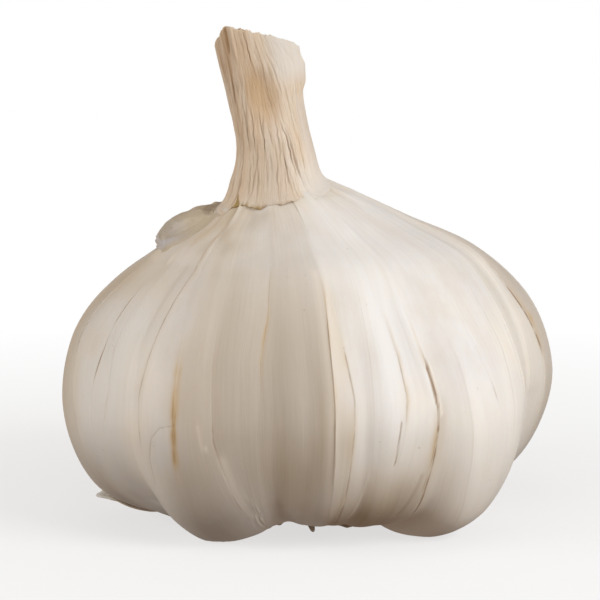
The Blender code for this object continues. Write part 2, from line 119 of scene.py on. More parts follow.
# Small marks: half width in degrees, strength (dark above 0, pale below), depth, and their course.
# Some are painted shadow and painted highlight, as marked.
MARKS = (
    (0.22, 0.36, 0.02, ((240, 5.2), (236, 5.15), (233.5, 5), (232.5, 4.8), (232.5, 4.5))),
    (0.2, 0.75, 0.06, ((294, 5.2), (292.5, 4.7))),
    # Painted shadow in the tear's gap
    (0.34, 1.2, 0.12, ((302, 5.9), (303, 5.4))),
    # Painted highlight on the tear's lit lip
    (0.38, -0.9, -0.06, ((303, 5.9), (304, 5.3))),
    # Painted highlight on lap 249's lit edge
    (1.1, -0.4, 0, ((251, 4.8), (257, 3.7))),
    (0.45, -0.3, -0.02, ((245.5, 5.2), (246.5, 4.9))),
    (0.25, -0.5, -0.02, ((246.5, 4.9), (247.8, 4.95))),
    # Painted light left of the ridge
    (1.3, -0.34, 0, ((277, 7), (276.8, 5.5), (276.4, 4))),
    (0.25, -0.5, -0.02, ((286.5, 4.6), (283.5, 3.8))),
    (0.25, 0.5, 0.02, ((252, 4.1), (258.5, 4.1))),
    # Painted shadow below the tear
    (0.7, 0.28, 0.05, ((299.5, 4.6), (297, 4))),
)
MARK_HALF, MARK_STRENGTH, MARK_DEPTH, MARK_COURSE = range(4)
# A sharp crest: azimuth, height, reach to each side in degrees, and the stations it runs between.
RIDGE = (278.5, 0.6, 8, 7, 3.8, 7.9)
# Where the skin bridges a groove: azimuth, half width in degrees, share of its depth, lowest station.
BRIDGES = ((222, 17, 0.85, 4.5), (305, 13, 0.8, 4.2))
# A shallow hollow: azimuth, half width in degrees, station, half height in stations, and depth.
HOLLOW = (215, 12, 3.9, 0.6, 0.9)
BACK_LAPS, LAP_SEED = 16, 7
LAP_HEIGHT = (0.08, 0.24)
LAP_STEP, LAP_SOFT_STEP, LAP_DECAY = 0.14, 3, 4.5  # degrees, as the next three lines are
OVERHANG_DECAY = 0.7
LINE_HALF, LINE_END = 0.18, 0.25
STAIN_MIDDLE, STAIN_DECAY = 0.1, 0.45
LIP_MIDDLE, LIP_SPREAD = 0.15, 0.05  # degrees, and degrees squared, as below
CORNER_MIDDLE, CORNER_SPREAD, FINE_SPREAD = 0.12, 0.1, 0.08
LAP_BY_STATION = (0, 0, 0, 0.1, 0.7, 1, 1, 0.8, 0.45, 0.15, 0, 0, 0)
FINE_LAPS, FINE_SEED = 64, 21
FINE_HEIGHT = (0.002, 0.014)
FINE_STEP, FINE_DECAY = 0.9, 2.2
FINE_BY_STATION = (0, 0, 0.3, 0.7, 1, 1, 1, 1, 0.9, 0.8, 0.4, 0, 0)
GATHER_END, GATHER_SPAN = 11, 1.4  # the stations over which the strips come together at the neck
WANDER_FROM, WANDER_SPAN = 2.6, 1.5  # the stations over which they begin to stray
DRIFT, DRIFT_MIDDLE = 13, 265  # the most degrees that a strip turns, and the azimuth they turn from

# Swells, pleats under the foot and gathers at the neck: layers of noise, each with its height in
# millimetres, cells round, cells up and seed; then the stations they run between and the fades there.
UNEVEN = (
    (((0.16, 26, 9, 41), (0.045, 64, 18, 42)), (2.2, 10.8, 1.2, 1.2, 0)),
    (((0.22, 100, 14, 45),), (1.2, 4, 0.8, 1.2, 0)),
    (((0.1, 90, 12, 46),), (8.2, 10.4, 1.2, 0.6, 0)),
)
CRUMPLE = ((0.05, 170, 80, 47), (0.03, 300, 150, 48))
# An oval patch: azimuth, half width, station or height, half height, core and strength.
CRUMPLED = (254, 7, 3.95, 0.55, 1.25, 1)

FRONT = (183, 368)  # the finely meshed front
FRONT_STEP, BACK_STEP = 0.36, 0.78  # degrees between the mesh's columns
LAP_COLUMNS = (-0.2, -0.07, 0.07, 0.2)  # degrees from a lap's edge
ROWS_BY_SPAN = (2, 4, 9, 18, 15, 13, 13, 11, 8, 5, 3, 2)
CLOSE_ROWS = (4.99, 5.23, 0.024)  # where small marks need a finer mesh


def unit(x):
    return np.clip(x, 0, 1)


def ease(x):
    x = unit(x)
    return x * x * (3 - 2 * x)


def turn_between(azimuth, start):
    """The angle from start to azimuth, from -180 to 180."""
    return (np.asarray(azimuth, float) - start + 180) % 360 - 180


def window(x, low, high, fade, top_fade=None, at_end=0.5):
    """1 between low and high, eased over a fade at each end, where it passes at_end before easing."""
    return ease((x - low) / fade + at_end) * ease((high - x) / (top_fade or fade) + at_end)


def bell(azimuth, middle, half, power=2):
    """1 at the middle azimuth, falling off on both sides."""
    return np.exp(-(np.abs(turn_between(azimuth, middle) / half) ** power))


def sector(azimuth, middle, half, core=1.5):
    """1 about the middle azimuth, easing to 0 at core times the half width."""
    return ease(core - np.abs(turn_between(azimuth, middle)) / half)


def spot(azimuth, height, patch):
    """A patch's strength in its middle, easing to 0 at core times its half width and half height."""
    middle, half, level, half_height, core, strength = patch
    off = np.hypot(turn_between(azimuth, middle) / half, (height - level) / half_height)
    return strength * ease(core - off)


def share_between(azimuth, knots):
    """Index of the knot before each azimuth, and the share of the way to the next."""
    turned = (np.asarray(azimuth, float) - knots[0]) % 360
    after = np.append(knots - knots[0], 360)
    index = np.clip(np.searchsorted(after, turned, side="right") - 1, 0, len(knots) - 1)
    return index, (turned - after[index]) / (after[index + 1] - after[index])


def round_values(azimuth, knots):
    """Eased values round a full turn, from knots of (azimuth, value) in rising azimuth."""
    places, values = np.array(knots, float).T
    index, share = share_between(azimuth, places)
    return values[index] + (values[(index + 1) % len(knots)] - values[index]) * ease(share)


def by_station(values, station):
    return np.interp(station, range(STATIONS), values)


def groove_depth(azimuth, station):
    """How deep the grooves between the cloves are at each place."""
    crests, depths, places = (np.array([clove[k] for clove in CLOVES]) for k in (AZIMUTH, GROOVE, GROOVE_AT))
    index, share = share_between(azimuth, crests)
    place = places[index]
    nearness = np.where(share < place, share / place, (1 - share) / (1 - place))
    rounded = 1 - np.sqrt((1 - nearness) ** 2 + GROOVE_ROUNDING**2) + GROOVE_ROUNDING
    return depths[index] * rounded**GROOVE_NARROWING * by_station(GROOVE_BY_STATION, station)


def smooth_skin(azimuth, station):
    """Points and outward normals of the plain skin, for equally shaped azimuths and stations."""
    azimuth, station = np.broadcast_arrays(np.asarray(azimuth, float), np.asarray(station, float))
    shape = (*azimuth.shape, 3)
    azimuth, station = azimuth.ravel(), station.ravel()
    reach, belly, foot, heel = (
        round_values(azimuth, [(clove[AZIMUTH], clove[k]) for clove in CLOVES])
        for k in (REACH, BELLY_Z, FOOT_Z, HEEL)
    )
    cos, sin = np.cos(np.radians(azimuth)), np.sin(np.radians(azimuth))
    same = np.ones_like(azimuth)
    controls = [
        (0 * same, HOLLOW_Z * same),
        (HOLLOW_R * same, HOLLOW_RIM_Z * same),
        (SOLE_SHARE * FOOT_R * same, foot + SOLE_RISE),
        (FOOT_R * same, foot),
        (HEEL_SHARE * reach, foot + heel * (belly - foot)),
        (reach, belly),
        (CHEST_SHARE * reach, belly + CHEST_RISE),
        *((radius + wider * cos, height + higher * cos) for radius, height, wider, higher in SLOPE),
        (0 * same, CROWN_Z * same),
    ]
    controls = np.moveaxis(np.array(controls), 2, 0)
    steps = np.diff(controls, axis=1)
    lengths = np.linalg.norm(steps, axis=2, keepdims=True)
    slopes = steps / lengths
    tangents = np.empty_like(controls)
    before, after = lengths[:, :-1], lengths[:, 1:]
    tangents[:, 1:-1] = (slopes[:, 1:] * before + slopes[:, :-1] * after) / (before + after)
    tangents[:, 0] = (1, 0)
    tangents[:, -1] = (-1, 0)
    each = np.arange(len(azimuth))
    i = np.clip(np.floor(station).astype(int), 0, STATIONS - 2)
    t = (station - i)[:, None]
    span = lengths[each, i]
    p, q = controls[each, i], controls[each, i + 1]
    m, n = tangents[each, i] * span, tangents[each, i + 1] * span
    point = p * (2 * t**3 - 3 * t**2 + 1) + m * (t**3 - 2 * t**2 + t)
    point = point + q * (3 * t**2 - 2 * t**3) + n * (t**3 - t**2)
    along = p * (6 * t**2 - 6 * t) + m * (3 * t**2 - 4 * t + 1)
    along = along + q * (6 * t - 6 * t**2) + n * (3 * t**2 - 2 * t)
    along = along / np.maximum(np.linalg.norm(along, axis=1, keepdims=True), 1e-9)
    out, up = along[:, 1], -along[:, 0]
    depth = groove_depth(azimuth, station)
    radius, height = point[:, 0] - out * depth, point[:, 1] - up * depth
    lean = ease((station - LEAN_FROM) / LEAN_SPAN)
    points = np.stack([radius * cos + LEAN[0] * lean, radius * sin + LEAN[1] * lean, height], axis=1)
    normals = np.stack([out * cos, out * sin, up], axis=1)
    return points.reshape(shape), normals.reshape(shape)


def noise(u, v, cells_u, cells_v, seed):
    """Smooth noise from -1 to 1 over a turn u, 0 to 1 and wrapping, and a height v, 0 to 1."""
    u, v = np.broadcast_arrays(np.asarray(u, float), np.asarray(v, float))
    grid = np.random.default_rng(seed).uniform(-1, 1, (cells_v + 2, cells_u))
    x, y = (u % 1) * cells_u, unit(v) * cells_v
    i, j = np.floor(x).astype(int), np.floor(y).astype(int)
    s, t = ease(x - i), ease(y - j)
    i, k = i % cells_u, (i + 1) % cells_u
    low = grid[j, i] * (1 - s) + grid[j, k] * s
    high = grid[j + 1, i] * (1 - s) + grid[j + 1, k] * s
    return low * (1 - t) + high * t


def layered(u, v, *layers):
    """Noises added up, each with its height, cells round, cells up and seed."""
    return sum(height * noise(u, v, *grid) for height, *grid in layers)


def on_skin(azimuth, station, *layers):
    """Layered noise over the bulb."""
    return layered(azimuth / 360, station / TOP_STATION, *layers)


def along_edge(station, cells, seed, place=0.1):
    """Noise from -1 to 1 up an edge; place is the turn it is read at."""
    return noise(place, station / TOP_STATION, 4, cells, seed)


# ---------------------------------------------------------------- laps, creases and stains of the skin
def make_laps():
    """All laps in rising azimuth, each with the values of FRONT_LAPS."""
    rng = random.Random(LAP_SEED)
    start, end = FRONT_LAPS[-1][EDGE], FRONT_LAPS[0][EDGE] + 360
    pitch = (end - start) / (BACK_LAPS + 1)
    laps = list(FRONT_LAPS)
    looks = random.Random(LAP_SEED + 1)
    for i in range(BACK_LAPS):
        azimuth = start + (i + 1 + rng.uniform(-0.25, 0.25)) * pitch
        height, side = rng.uniform(*LAP_HEIGHT), rng.choice((-1, 1))
        low, crisp = looks.uniform(4.2, 5.8), looks.uniform(3.8, 4.8)
        stain = (looks.uniform(0, 0.9), low, low + 1.6)
        tone_and_shade = looks.uniform(0, 0.55)
        laps.append((azimuth, height, side, looks.uniform(0.1, 0.5), *stain, crisp, crisp + 3, tone_and_shade, ()))
    return laps


def make_fine_laps():
    """Azimuth, height and side of each fine lap."""
    rng = random.Random(FINE_SEED)
    pitch = 360 / FINE_LAPS
    return [
        ((i + rng.uniform(-0.4, 0.4)) * pitch, rng.uniform(*FINE_HEIGHT), rng.choice((-1, 1)))
        for i in range(FINE_LAPS)
    ]


LAPS = make_laps()
FINE = make_fine_laps()


def past_edge(azimuth, lap):
    """Degrees past a lap's edge, on its raised side."""
    return turn_between(azimuth, lap[EDGE]) * lap[SIDE]


def crispness(lap, station):
    """1 where a lap is a crisp edge, falling to 0 past the ends of that stretch."""
    return window(station, lap[CRISP_LOW], lap[CRISP_HIGH], 0.7, 0.9)


def lap_relief(azimuth, station):
    relief = np.zeros_like(azimuth)
    for lap in LAPS:
        beyond = past_edge(azimuth, lap)
        crisp = crispness(lap, station)
        step = crisp * ease(beyond / LAP_STEP + 0.5) + (1 - crisp) * ease(beyond / LAP_SOFT_STEP + 0.5)
        uneven = 0.9 + 0.45 * along_edge(station, 26, 250 + int(lap[EDGE]), 0.7)
        relief += lap[HEIGHT] * uneven * step * np.exp(-np.maximum(beyond, 0) / LAP_DECAY)
    return relief * by_station(LAP_BY_STATION, station)


def fine_relief(azimuth, station):
    relief = np.zeros_like(azimuth)
    for edge, height, side in FINE:
        beyond = turn_between(azimuth, edge) * side
        relief += height * ease(beyond / FINE_STEP + 0.5) * np.exp(-np.maximum(beyond, 0) / FINE_DECAY)
    return relief * by_station(FINE_BY_STATION, station)


def ridge_relief(azimuth, station):
    """The sharp crest, the bridged grooves and the shallow hollow."""
    middle, height, before, after, low, high = RIDGE
    off = turn_between(azimuth, middle)
    fall = np.exp(-np.abs(off) / np.where(off < 0, before, after))
    relief = height * fall * window(station, low, high, 0.9, 1.2)
    depth = groove_depth(azimuth, station)
    for middle, half, share, low in BRIDGES:
        relief += share * depth * bell(azimuth, middle, half, 4) * ease((station - low) / 1.2 + 0.5)
    middle, half, level, half_height, deep = HOLLOW
    return relief - deep * bell(azimuth, middle, half) * np.exp(-(((station - level) / half_height) ** 2))


def columns():
    """The mesh's columns: close ones in front, wider ones behind, and four at every lap's step."""
    front = np.arange(*FRONT, FRONT_STEP)
    back = np.arange(FRONT[1], FRONT[0] + 360, BACK_STEP)
    even, steps = np.concatenate([front, back]) % 360, []
    for lap in LAPS:
        even = even[np.abs(turn_between(even, lap[EDGE])) > LAP_COLUMNS[-1]]
        steps += [(lap[EDGE] + turn) % 360 for turn in LAP_COLUMNS]
    return np.array(sorted([*even, *steps]))


def rows():
    """The stations of the mesh's rows."""
    even = [i + k / count for i, count in enumerate(ROWS_BY_SPAN) for k in range(count)]
    low, high, step = CLOSE_ROWS
    even = [s for s in even[1:] if not low - 0.5 * step < s < high + 0.5 * step]
    return np.array(sorted([*even, *np.arange(*CLOSE_ROWS)]))


def ungathered(station):
    """1 on the bulb, falling to 0 where the strips come together at the neck."""
    return ease((GATHER_END - station) / GATHER_SPAN)


def straying(station):
    """0 at the foot, rising to 1 where the strips are free to stray."""
    return ease((station - WANDER_FROM) / WANDER_SPAN)


def drift(azimuth, station):
    """The strips turn away from the front as they climb to the neck."""
    climb = ease((station - 6.2) / 3.2) * ungathered(station)
    return DRIFT * np.sin(np.radians(azimuth - DRIFT_MIDDLE)) * climb


def lap_shift(lap, station):
    """How far a lap strays from its azimuth at each station."""
    edge, path = lap[EDGE], lap[PATH]
    if not path:
        sway = noise(edge / 360, station / TOP_STATION, 15, 7, 31) * straying(station)
        return drift(edge, station) + 1.4 * sway * ungathered(station)
    stations, azimuths = np.array(path, float).T
    own = np.interp(station, stations, azimuths) - edge
    held = np.clip(station, stations[0], stations[-1])
    return (own + drift(edge, station) - drift(edge, held)) * ungathered(station)


def wander(azimuth, station):
    """How far each column strays: the strips between two laps follow both."""
    laps = sorted(LAPS, key=lambda lap: lap[EDGE] % 360)
    shifts = np.stack([lap_shift(lap, station[:, 0]) for lap in laps], axis=1)
    index, share = share_between(azimuth[0], np.array([lap[EDGE] % 360 for lap in laps]))
    share = ease(share)
    column = shifts[:, index] * (1 - share) + shifts[:, (index + 1) % len(laps)] * share
    own = on_skin(azimuth, station, (0.3, 45, 16, 32)) * 4 * share * (1 - share)
    return column + own * straying(station) * ungathered(station)


def course_distance(azimuth, station, course):
    """Distance in degrees from a course of (azimuth, station) points."""
    x, y = turn_between(azimuth, course[0][0]), (station - course[0][1]) * STATION_TURN
    knots = (np.array(course, float) - course[0]) * (1, STATION_TURN)
    nearest = np.full(azimuth.shape, 1e9)
    for p, q in zip(knots[:-1], knots[1:]):
        dx, dy = q - p
        along = unit(((x - p[0]) * dx + (y - p[1]) * dy) / (dx * dx + dy * dy))
        nearest = np.minimum(nearest, np.hypot(x - p[0] - along * dx, y - p[1] - along * dy))
    return nearest


def marks(azimuth, station, field):
    """The small marks' strength or depth at each place."""
    total = np.zeros_like(azimuth)
    for mark in MARKS:
        distance = course_distance(azimuth, station, mark[MARK_COURSE])
        total += mark[field] * np.exp(-((distance / mark[MARK_HALF]) ** 2))
    return total


def overhang(azimuth, station):
    """The free edges of the laps reach out over what lies beneath."""
    shift = np.zeros_like(azimuth)
    for lap in LAPS:
        within = past_edge(azimuth, lap)
        reach = lap[LIP] * crispness(lap, station)
        reach = reach * (0.75 + 0.5 * along_edge(station, 40, int(lap[EDGE]), 0.3))
        shift -= lap[SIDE] * reach * (within > 0) * np.exp(-np.maximum(within, 0) / OVERHANG_DECAY)
    return shift * by_station(LAP_BY_STATION, station)


def bulb_relief(azimuth, station):
    """Everything that stands above or below the plain skin, in millimetres."""
    relief = lap_relief(azimuth, station) + ridge_relief(azimuth, station) + fine_relief(azimuth, station)
    for layers, stretch in UNEVEN:
        relief += on_skin(azimuth, station, *layers) * window(station, *stretch)
    return relief + on_skin(azimuth, station, *CRUMPLE) * spot(azimuth, station, CRUMPLED)


# Stains: azimuth, its half width, stations it runs between, and strength.
STREAKS = (
    (240, 0.85, 4.4, 6.3, 1), (239.8, 0.4, 4.6, 5.9, 1.8), (240, 0.5, 4.9, 5.5, 1.6),
    (261, 0.4, 5.6, 6.7, 1.3), (230.4, 0.8, 6.6, 9.6, 0.3), (222, 1.3, 7.6, 9.8, 0.28),
    (216, 1, 8, 9.8, 0.25), (278.6, 0.45, 5.1, 7, 0.7), (293.6, 0.9, 4.55, 5.1, 0.75),
    (295.4, 0.5, 5, 6.6, 0.5), (303.3, 0.5, 5.4, 6.6, 0.6), (356, 1.2, 5.4, 6.6, 0.9),
    (33, 0.7, 5, 6.4, 0.6), (81, 0.9, 4.4, 5.6, 0.7), (128, 0.6, 5.5, 6.8, 0.6),
    (171, 0.8, 4.8, 6, 0.5),
)


def lap_lines_and_gap_shade(azimuth, station):
    """Thin dark lines along the edges of the laps, broken here and there, and painted shade under each lip.
    """
    line_and_gap_shade = np.zeros_like(azimuth)
    for k, lap in enumerate(LAPS):
        within = past_edge(azimuth, lap)
        # The line reaches under the lip, painting the shade in the corner there
        reach = (lap[LIP] + 1.5 * lap[HEIGHT]) * crispness(lap, station)
        off = np.maximum(-within - reach, within)
        across = np.exp(-((off / LINE_HALF) ** 2)) * (within < LINE_END)
        along = window(station, lap[STAIN_LOW], lap[STAIN_HIGH], 0.5, at_end=0)
        patchy = 0.7 * along_edge(station, 70, 60 + k) + 0.3 * along_edge(station, 200, 60 + k)
        line_and_gap_shade += lap[STAIN] * across * along * unit(0.5 + 0.18 * lap[STAIN] + patchy)
    return line_and_gap_shade


def brown_stain(azimuth, station):
    """Orange-brown stains beside some laps, and longer streaks."""
    stain = np.zeros_like(azimuth)
    for k, lap in enumerate(LAPS):
        along = window(station, lap[STAIN_LOW], lap[STAIN_HIGH], 0.7, at_end=0)
        patchy = unit(0.2 + 1.1 * along_edge(station, 34, 160 + k))
        across = np.exp(-np.abs(past_edge(azimuth, lap) - STAIN_MIDDLE) / STAIN_DECAY)
        stain += 0.55 * lap[STAIN] * along * patchy * across
    for k, (middle, half, low, high, strength) in enumerate(STREAKS):
        sway = 0.5 * half * along_edge(station, 50, 190 + k, 0.6)
        ragged = np.clip(0.85 + 0.5 * along_edge(station, 90, 90 + k, 0.2), 0.15, 1.2)
        grain = 0.7 + on_skin(azimuth, station, (0.5, 360, 24, 90 + k))
        along = window(station, low, high, 0.6, at_end=0)
        stain += strength * bell(azimuth + sway, middle, half) * grain * along * ragged
    return unit(stain)


def lip_highlight(azimuth, station):
    """Painted highlight: a high lap's torn edge, where the light catches it, is painted paler than the skin
    behind it.
    """
    pale_and_highlight = np.zeros_like(azimuth)
    for k, lap in enumerate(LAPS):
        patchy = unit(0.6 + 0.9 * along_edge(station, 40, 230 + k, 0.4))
        edge = np.exp(-((past_edge(azimuth, lap) - LIP_MIDDLE) ** 2) / LIP_SPREAD)
        pale_and_highlight += min(1, 2.2 * lap[HEIGHT]) * crispness(lap, station) * patchy * edge
    return pale_and_highlight


def lap_shadow(azimuth, station):
    """Dust and shade in the corner under each lap's edge."""
    shade = np.zeros_like(azimuth)
    for lap in LAPS:
        corner = np.exp(-((past_edge(azimuth, lap) + CORNER_MIDDLE) ** 2) / CORNER_SPREAD)
        shade += (0.03 + lap[HEIGHT]) / 0.4 * crispness(lap, station) * corner
    for edge, height, _ in FINE:
        shade += 4 * height * np.exp(-(turn_between(azimuth, edge) ** 2) / FINE_SPREAD)
    return unit(shade * by_station(FINE_BY_STATION, station))


TONE_SEAM = 100  # the azimuth that the strips are counted from
# About which station, and over how many, the tan fades: by lap, and for all others.
TONE_TOPS = {303.5: (6.05, 0.25), 249: (7.2, 2.4), 261: (7.2, 2.6), 270: (7.2, 2.6)}
TONE_TOP = (7.4, 2.2)


def tan_tone_and_shade(azimuth, station):
    """Each strip of skin between two laps has its own tone, from white, 0, to tan, 1, partly painted shade.
    """
    laps = sorted(LAPS, key=lambda lap: (lap[EDGE] - TONE_SEAM) % 360)
    turned = (azimuth - TONE_SEAM) % 360

    def faded(lap):
        top, fade = TONE_TOPS.get(lap[EDGE], TONE_TOP)
        return lap[TONE_AND_SHADE] * (1 - 0.92 * ease((station - top) / fade + 0.5))

    before = faded(laps[-1])
    tone_and_shade = before
    for lap in laps:
        width = 0.25 + 5 * (1 - crispness(lap, station))
        after = faded(lap)
        tone_and_shade = tone_and_shade + (after - before) * ease((turned - (lap[EDGE] - TONE_SEAM) % 360) / width + 0.5)
        before = after
    mottled = 0.85 + on_skin(azimuth, station, (0.35, 60, 9, 52))
    return unit(tone_and_shade * mottled * ease((station - 3.6) / 1.1))


# Soft patches of differently coloured skin: azimuth, half width in degrees, stations and strength.
# The old patches are brown skin with painted shade low on the bulb, the dull ones are painted shade,
# and the white ones are whiter skin brightened as painted light where the lamps leave it dim.
SKIN_PATCHES = {
    "old_and_shade": (
        (293.5, 10.5, 2.8, 4.4, 0.85), (299, 4, 2.8, 4.5, 0.4), (280.8, 2.4, 2.8, 5.6, 0.4),
        (286, 6, 2.6, 3.9, 0.3), (243, 7, 3.4, 6.2, 0.38), (269, 8, 3.4, 5.2, 0.35),
        (255, 7, 4.8, 5.8, 0.12), (236, 9, 6.2, 10.2, 0.34), (311.5, 4.5, 5.3, 6.8, 0.08),
        (203, 9, 2.8, 4.3, 0.5), (304.4, 2, 3.8, 5.4, 0.5), (260, 24, 7.9, 10.5, 0.28),
        (200, 6, 4.9, 7, 0.25), (95, 9, 3.2, 4.8, 0.5), (150, 10, 3, 4.6, 0.5),
    ),
    "dull_shade": (
        (208, 16, 2.8, 4.75, 0.45), (233, 18, 2.6, 4.3, 0.35), (236, 8, 4.1, 5, 0.3),
        (222, 24, 5.8, 7.2, 0.14), (256, 20, 7.2, 9.2, 0.08), (217, 16, 2.4, 3.8, 0.4),
        (322, 11, 2.4, 3.7, 0.45), (260, 15, 4.9, 6.1, 0.16), (262, 16, 2.6, 3.9, 0.2),
    ),
    "milky": (
        (216, 20, 4.7, 6.5, 1.2), (250, 14, 6.2, 7.6, 0.4), (230, 5, 4.7, 5.7, 1),
        (350, 14, 7, 9, 0.8), (320, 15, 4.7, 5.7, 1), (338, 13, 4.2, 6.2, 1),
        (338, 22, 7, 9, 1), (296, 8, 4.8, 7, 1), (289, 18, 6.9, 8.2, 0.8),
        (292, 32, 6.9, 9.2, 0.5), (254, 9, 2.6, 4.7, 0.9), (120, 30, 4.6, 7.4, 0.7),
        (40, 25, 5, 8.4, 0.5),
    ),
    "yellow": (
        (208, 16, 5.7, 8.8, 0.6), (195, 9, 4.8, 8.8, 0.75), (220, 24, 8.2, 10.5, 0.68),
        (300, 24, 2.8, 4.8, 0.62), (306, 3.5, 3.6, 5.6, 0.35), (280.8, 2.3, 3, 7, 0.55),
        (60, 50, 2.6, 4.6, 0.4), (140, 40, 2.6, 4.6, 0.4),
    ),
    "white_and_light": (
        (313.5, 8, 3, 5.5, 0.75), (338, 13, 4.1, 6.3, 1.2), (354, 13, 6.6, 9.2, 1),
        (203, 12, 6.8, 9, 0.45), (298, 5, 4.7, 5.7, 0.7), (229, 6, 4.6, 6, 0.8),
        (282, 5, 4.4, 5.6, 0.6), (258, 9, 2.6, 4.4, 1),
    ),
}


def skin_patches(kind, azimuth, station):
    """How strongly each place shows one kind of patch, from 0 to 1."""
    total = np.zeros_like(azimuth)
    for middle, half, low, high, strength in SKIN_PATCHES[kind]:
        total += strength * bell(azimuth, middle, half, 3) * window(station, low, high, 0.7)
    return unit(total * (0.85 + on_skin(azimuth, station, (0.5, 60, 24, 54))))


LEFT_RIM, RIGHT_RIM = (190, 9), (356, 8)  # azimuth and half width


def warm_tint(azimuth, station):
    """Yellowed skin: near the neck, at the left and right rims, and in broad bands."""
    near_neck = ease((station - 8.4) / 1.6)
    rim = bell(azimuth, *LEFT_RIM) + 0.6 * bell(azimuth, *RIGHT_RIM)
    band = unit(0.35 + on_skin(azimuth, station, (0.9, 38, 4, 51)))
    return unit(0.35 * near_neck + 0.4 * rim + 0.35 * band)


# ---------------------------------------------------------------- meshes
def add_piece(name, points, faces, material, values, node):
    """A piece from points in millimetres, with a value of each kind at every point."""
    mesh = bpy.data.meshes.new(name)
    placed = (np.asarray(points, float).reshape(-1, 3) + (*PLACE, 0)) * MM
    mesh.from_pydata(placed.tolist(), [], faces)
    mesh.update()
    mesh.shade_smooth()
    for key, value in values.items():
        kind, field = ("FLOAT_VECTOR", "vector") if key == "strand" else ("FLOAT", "value")
        layer = mesh.attributes.new(key, kind, "POINT")
        layer.data.foreach_set(field, np.asarray(value, np.float32).ravel())
    mesh.materials.append(material)
    piece = bpy.data.objects.new(name, mesh)
    bpy.context.scene.collection.objects.link(piece)
    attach(piece, "root")
    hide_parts(node)


def round_azimuths(count):
    """Azimuths of equal columns round a piece."""
    return np.arange(count) * 360 / count


def ring_points(azimuth, radius, height, centre=0):
    """Points at each azimuth, radius and height about a centre in X."""
    turn = np.radians(azimuth)
    return np.stack([centre + radius * np.cos(turn), radius * np.sin(turn), height], axis=-1)


def grid_faces(rings, count, start=0, closed=True):
    """Quads between rings of count points, facing outwards for rings that climb anticlockwise."""
    i = np.arange(count if closed else count - 1)
    j = (i + 1) % count
    low = start + count * np.arange(rings - 1)[:, None]
    faces = np.stack([low + i, low + j, low + count + j, low + count + i], axis=2)
    return faces.reshape(-1, 4).tolist()


def strands(azimuth, height):
    """Noise coordinates that wrap round the piece without a seam: turn and height."""
    a = np.radians(azimuth)
    return np.stack(np.broadcast_arrays(np.cos(a), np.sin(a), height), axis=-1)


def make_bulb(material):
    base, station = np.meshgrid(columns(), rows())
    azimuth = base + wander(base, station) + overhang(base, station)
    points, normals = smooth_skin(azimuth, station)
    relief = bulb_relief(base, station) - marks(azimuth, station, MARK_DEPTH)
    points = points + normals * relief[..., None]
    points[..., 2] = np.maximum(points[..., 2], 0)
    rings, count = base.shape
    hollow, crown = base.size, base.size + 1
    points = np.concatenate([points.reshape(-1, 3), [(0, 0, HOLLOW_Z), (*LEAN, CROWN_Z)]])
    faces = grid_faces(rings, count)
    top = (rings - 1) * count
    faces += [[(i + 1) % count, i, hollow] for i in range(count)]
    faces += [[top + i, top + (i + 1) % count, crown] for i in range(count)]
    mark = marks(azimuth, station, MARK_STRENGTH)
    values = {
        "brown": brown_stain(base, station),
        # Brown lines, with painted shade under the lips and in the tear's gap
        "line_and_gap_shade": unit(lap_lines_and_gap_shade(base, station) + np.maximum(mark, 0)),
        # Painted highlight on the lit lap edges, with some real pale scratches
        "pale_and_highlight": unit(lip_highlight(base, station) - mark),
        "shade": lap_shadow(base, station),
        "warm": warm_tint(base, station),
        # Tan skin, with painted shade on the recessed strips in front and at the right rim
        "tone_and_shade": tan_tone_and_shade(base, station),
    }
    # Among the patches, the old and dull ones carry painted shade and the white ones painted light
    values.update((kind, skin_patches(kind, base, station)) for kind in SKIN_PATCHES)
    values = {key: np.append(value, [0, 0]) for key, value in values.items()}
    ends = [(0, 0, 0), (0, 0, TOP_STATION)]
    values["strand"] = np.concatenate([strands(base, station).reshape(-1, 3), ends])
    add_piece("bulb_skin", points, faces, material, values, "bulb")


# ---------------------------------------------------------------- the neck
# The hem's station by azimuth.
NECK_HEM = (
    (0, 10.15), (90, 9.8), (180, 9.8), (222, 9.55), (253, 9.36), (284, 9.42), (302, 9.65),
)
# Height, centre in X, half width and half depth.
NECK_SECTIONS = (
    (39.5, -3, 6, 6), (42.5, -3, 5.25, 5.2), (45, -3.2, 4.85, 4.5), (48, -3.75, 4.6, 4),
    (52, -4.6, 4.6, 3.6), (55, -5, 5, 3.4), (58, -5.7, 5, 3.2), (61, -6.3, 5, 3.1),
)
# Height of the cut by azimuth, and the ripples of its torn edge.
NECK_RIM = (
    (0, 57.3), (30, 57), (60, 57.1), (125, 57.8), (180, 57.4), (222, 59.8), (255, 59.4),
    (300, 58.9), (325, 58.3),
)
RIM_RIPPLES = ((0.22, 60, 2, 81), (0.12, 170, 2, 82))
# Dents and bulges: azimuth, half width, height, half height, and how far they stand out.
NECK_MARKS = (
    (217, 4, 58.6, 2.8, -0.32), (229, 5, 58.5, 3.6, 0.12),
    (270, 32, 51.8, 3.6, -0.45), (5, 22, 54.2, 2.4, 0.4),
)
# Brown streaks: azimuth, half width, height, half height and strength.
RUST = (
    (217, 2, 58, 2.6, 1.4), (211, 4.5, 58.4, 1.8, 0.8), (212, 1.3, 54.5, 2.6, 0.9),
    (207, 12, 53, 8, 0.75), (246, 9, 55.5, 3.5, 0.4), (215, 2, 52, 2.6, 0.7),
    (238, 2, 51.5, 2.2, 0.6), (194, 5, 56, 3, 0.6),
)
RUST_SLANT = 0.6  # degrees to a millimetre
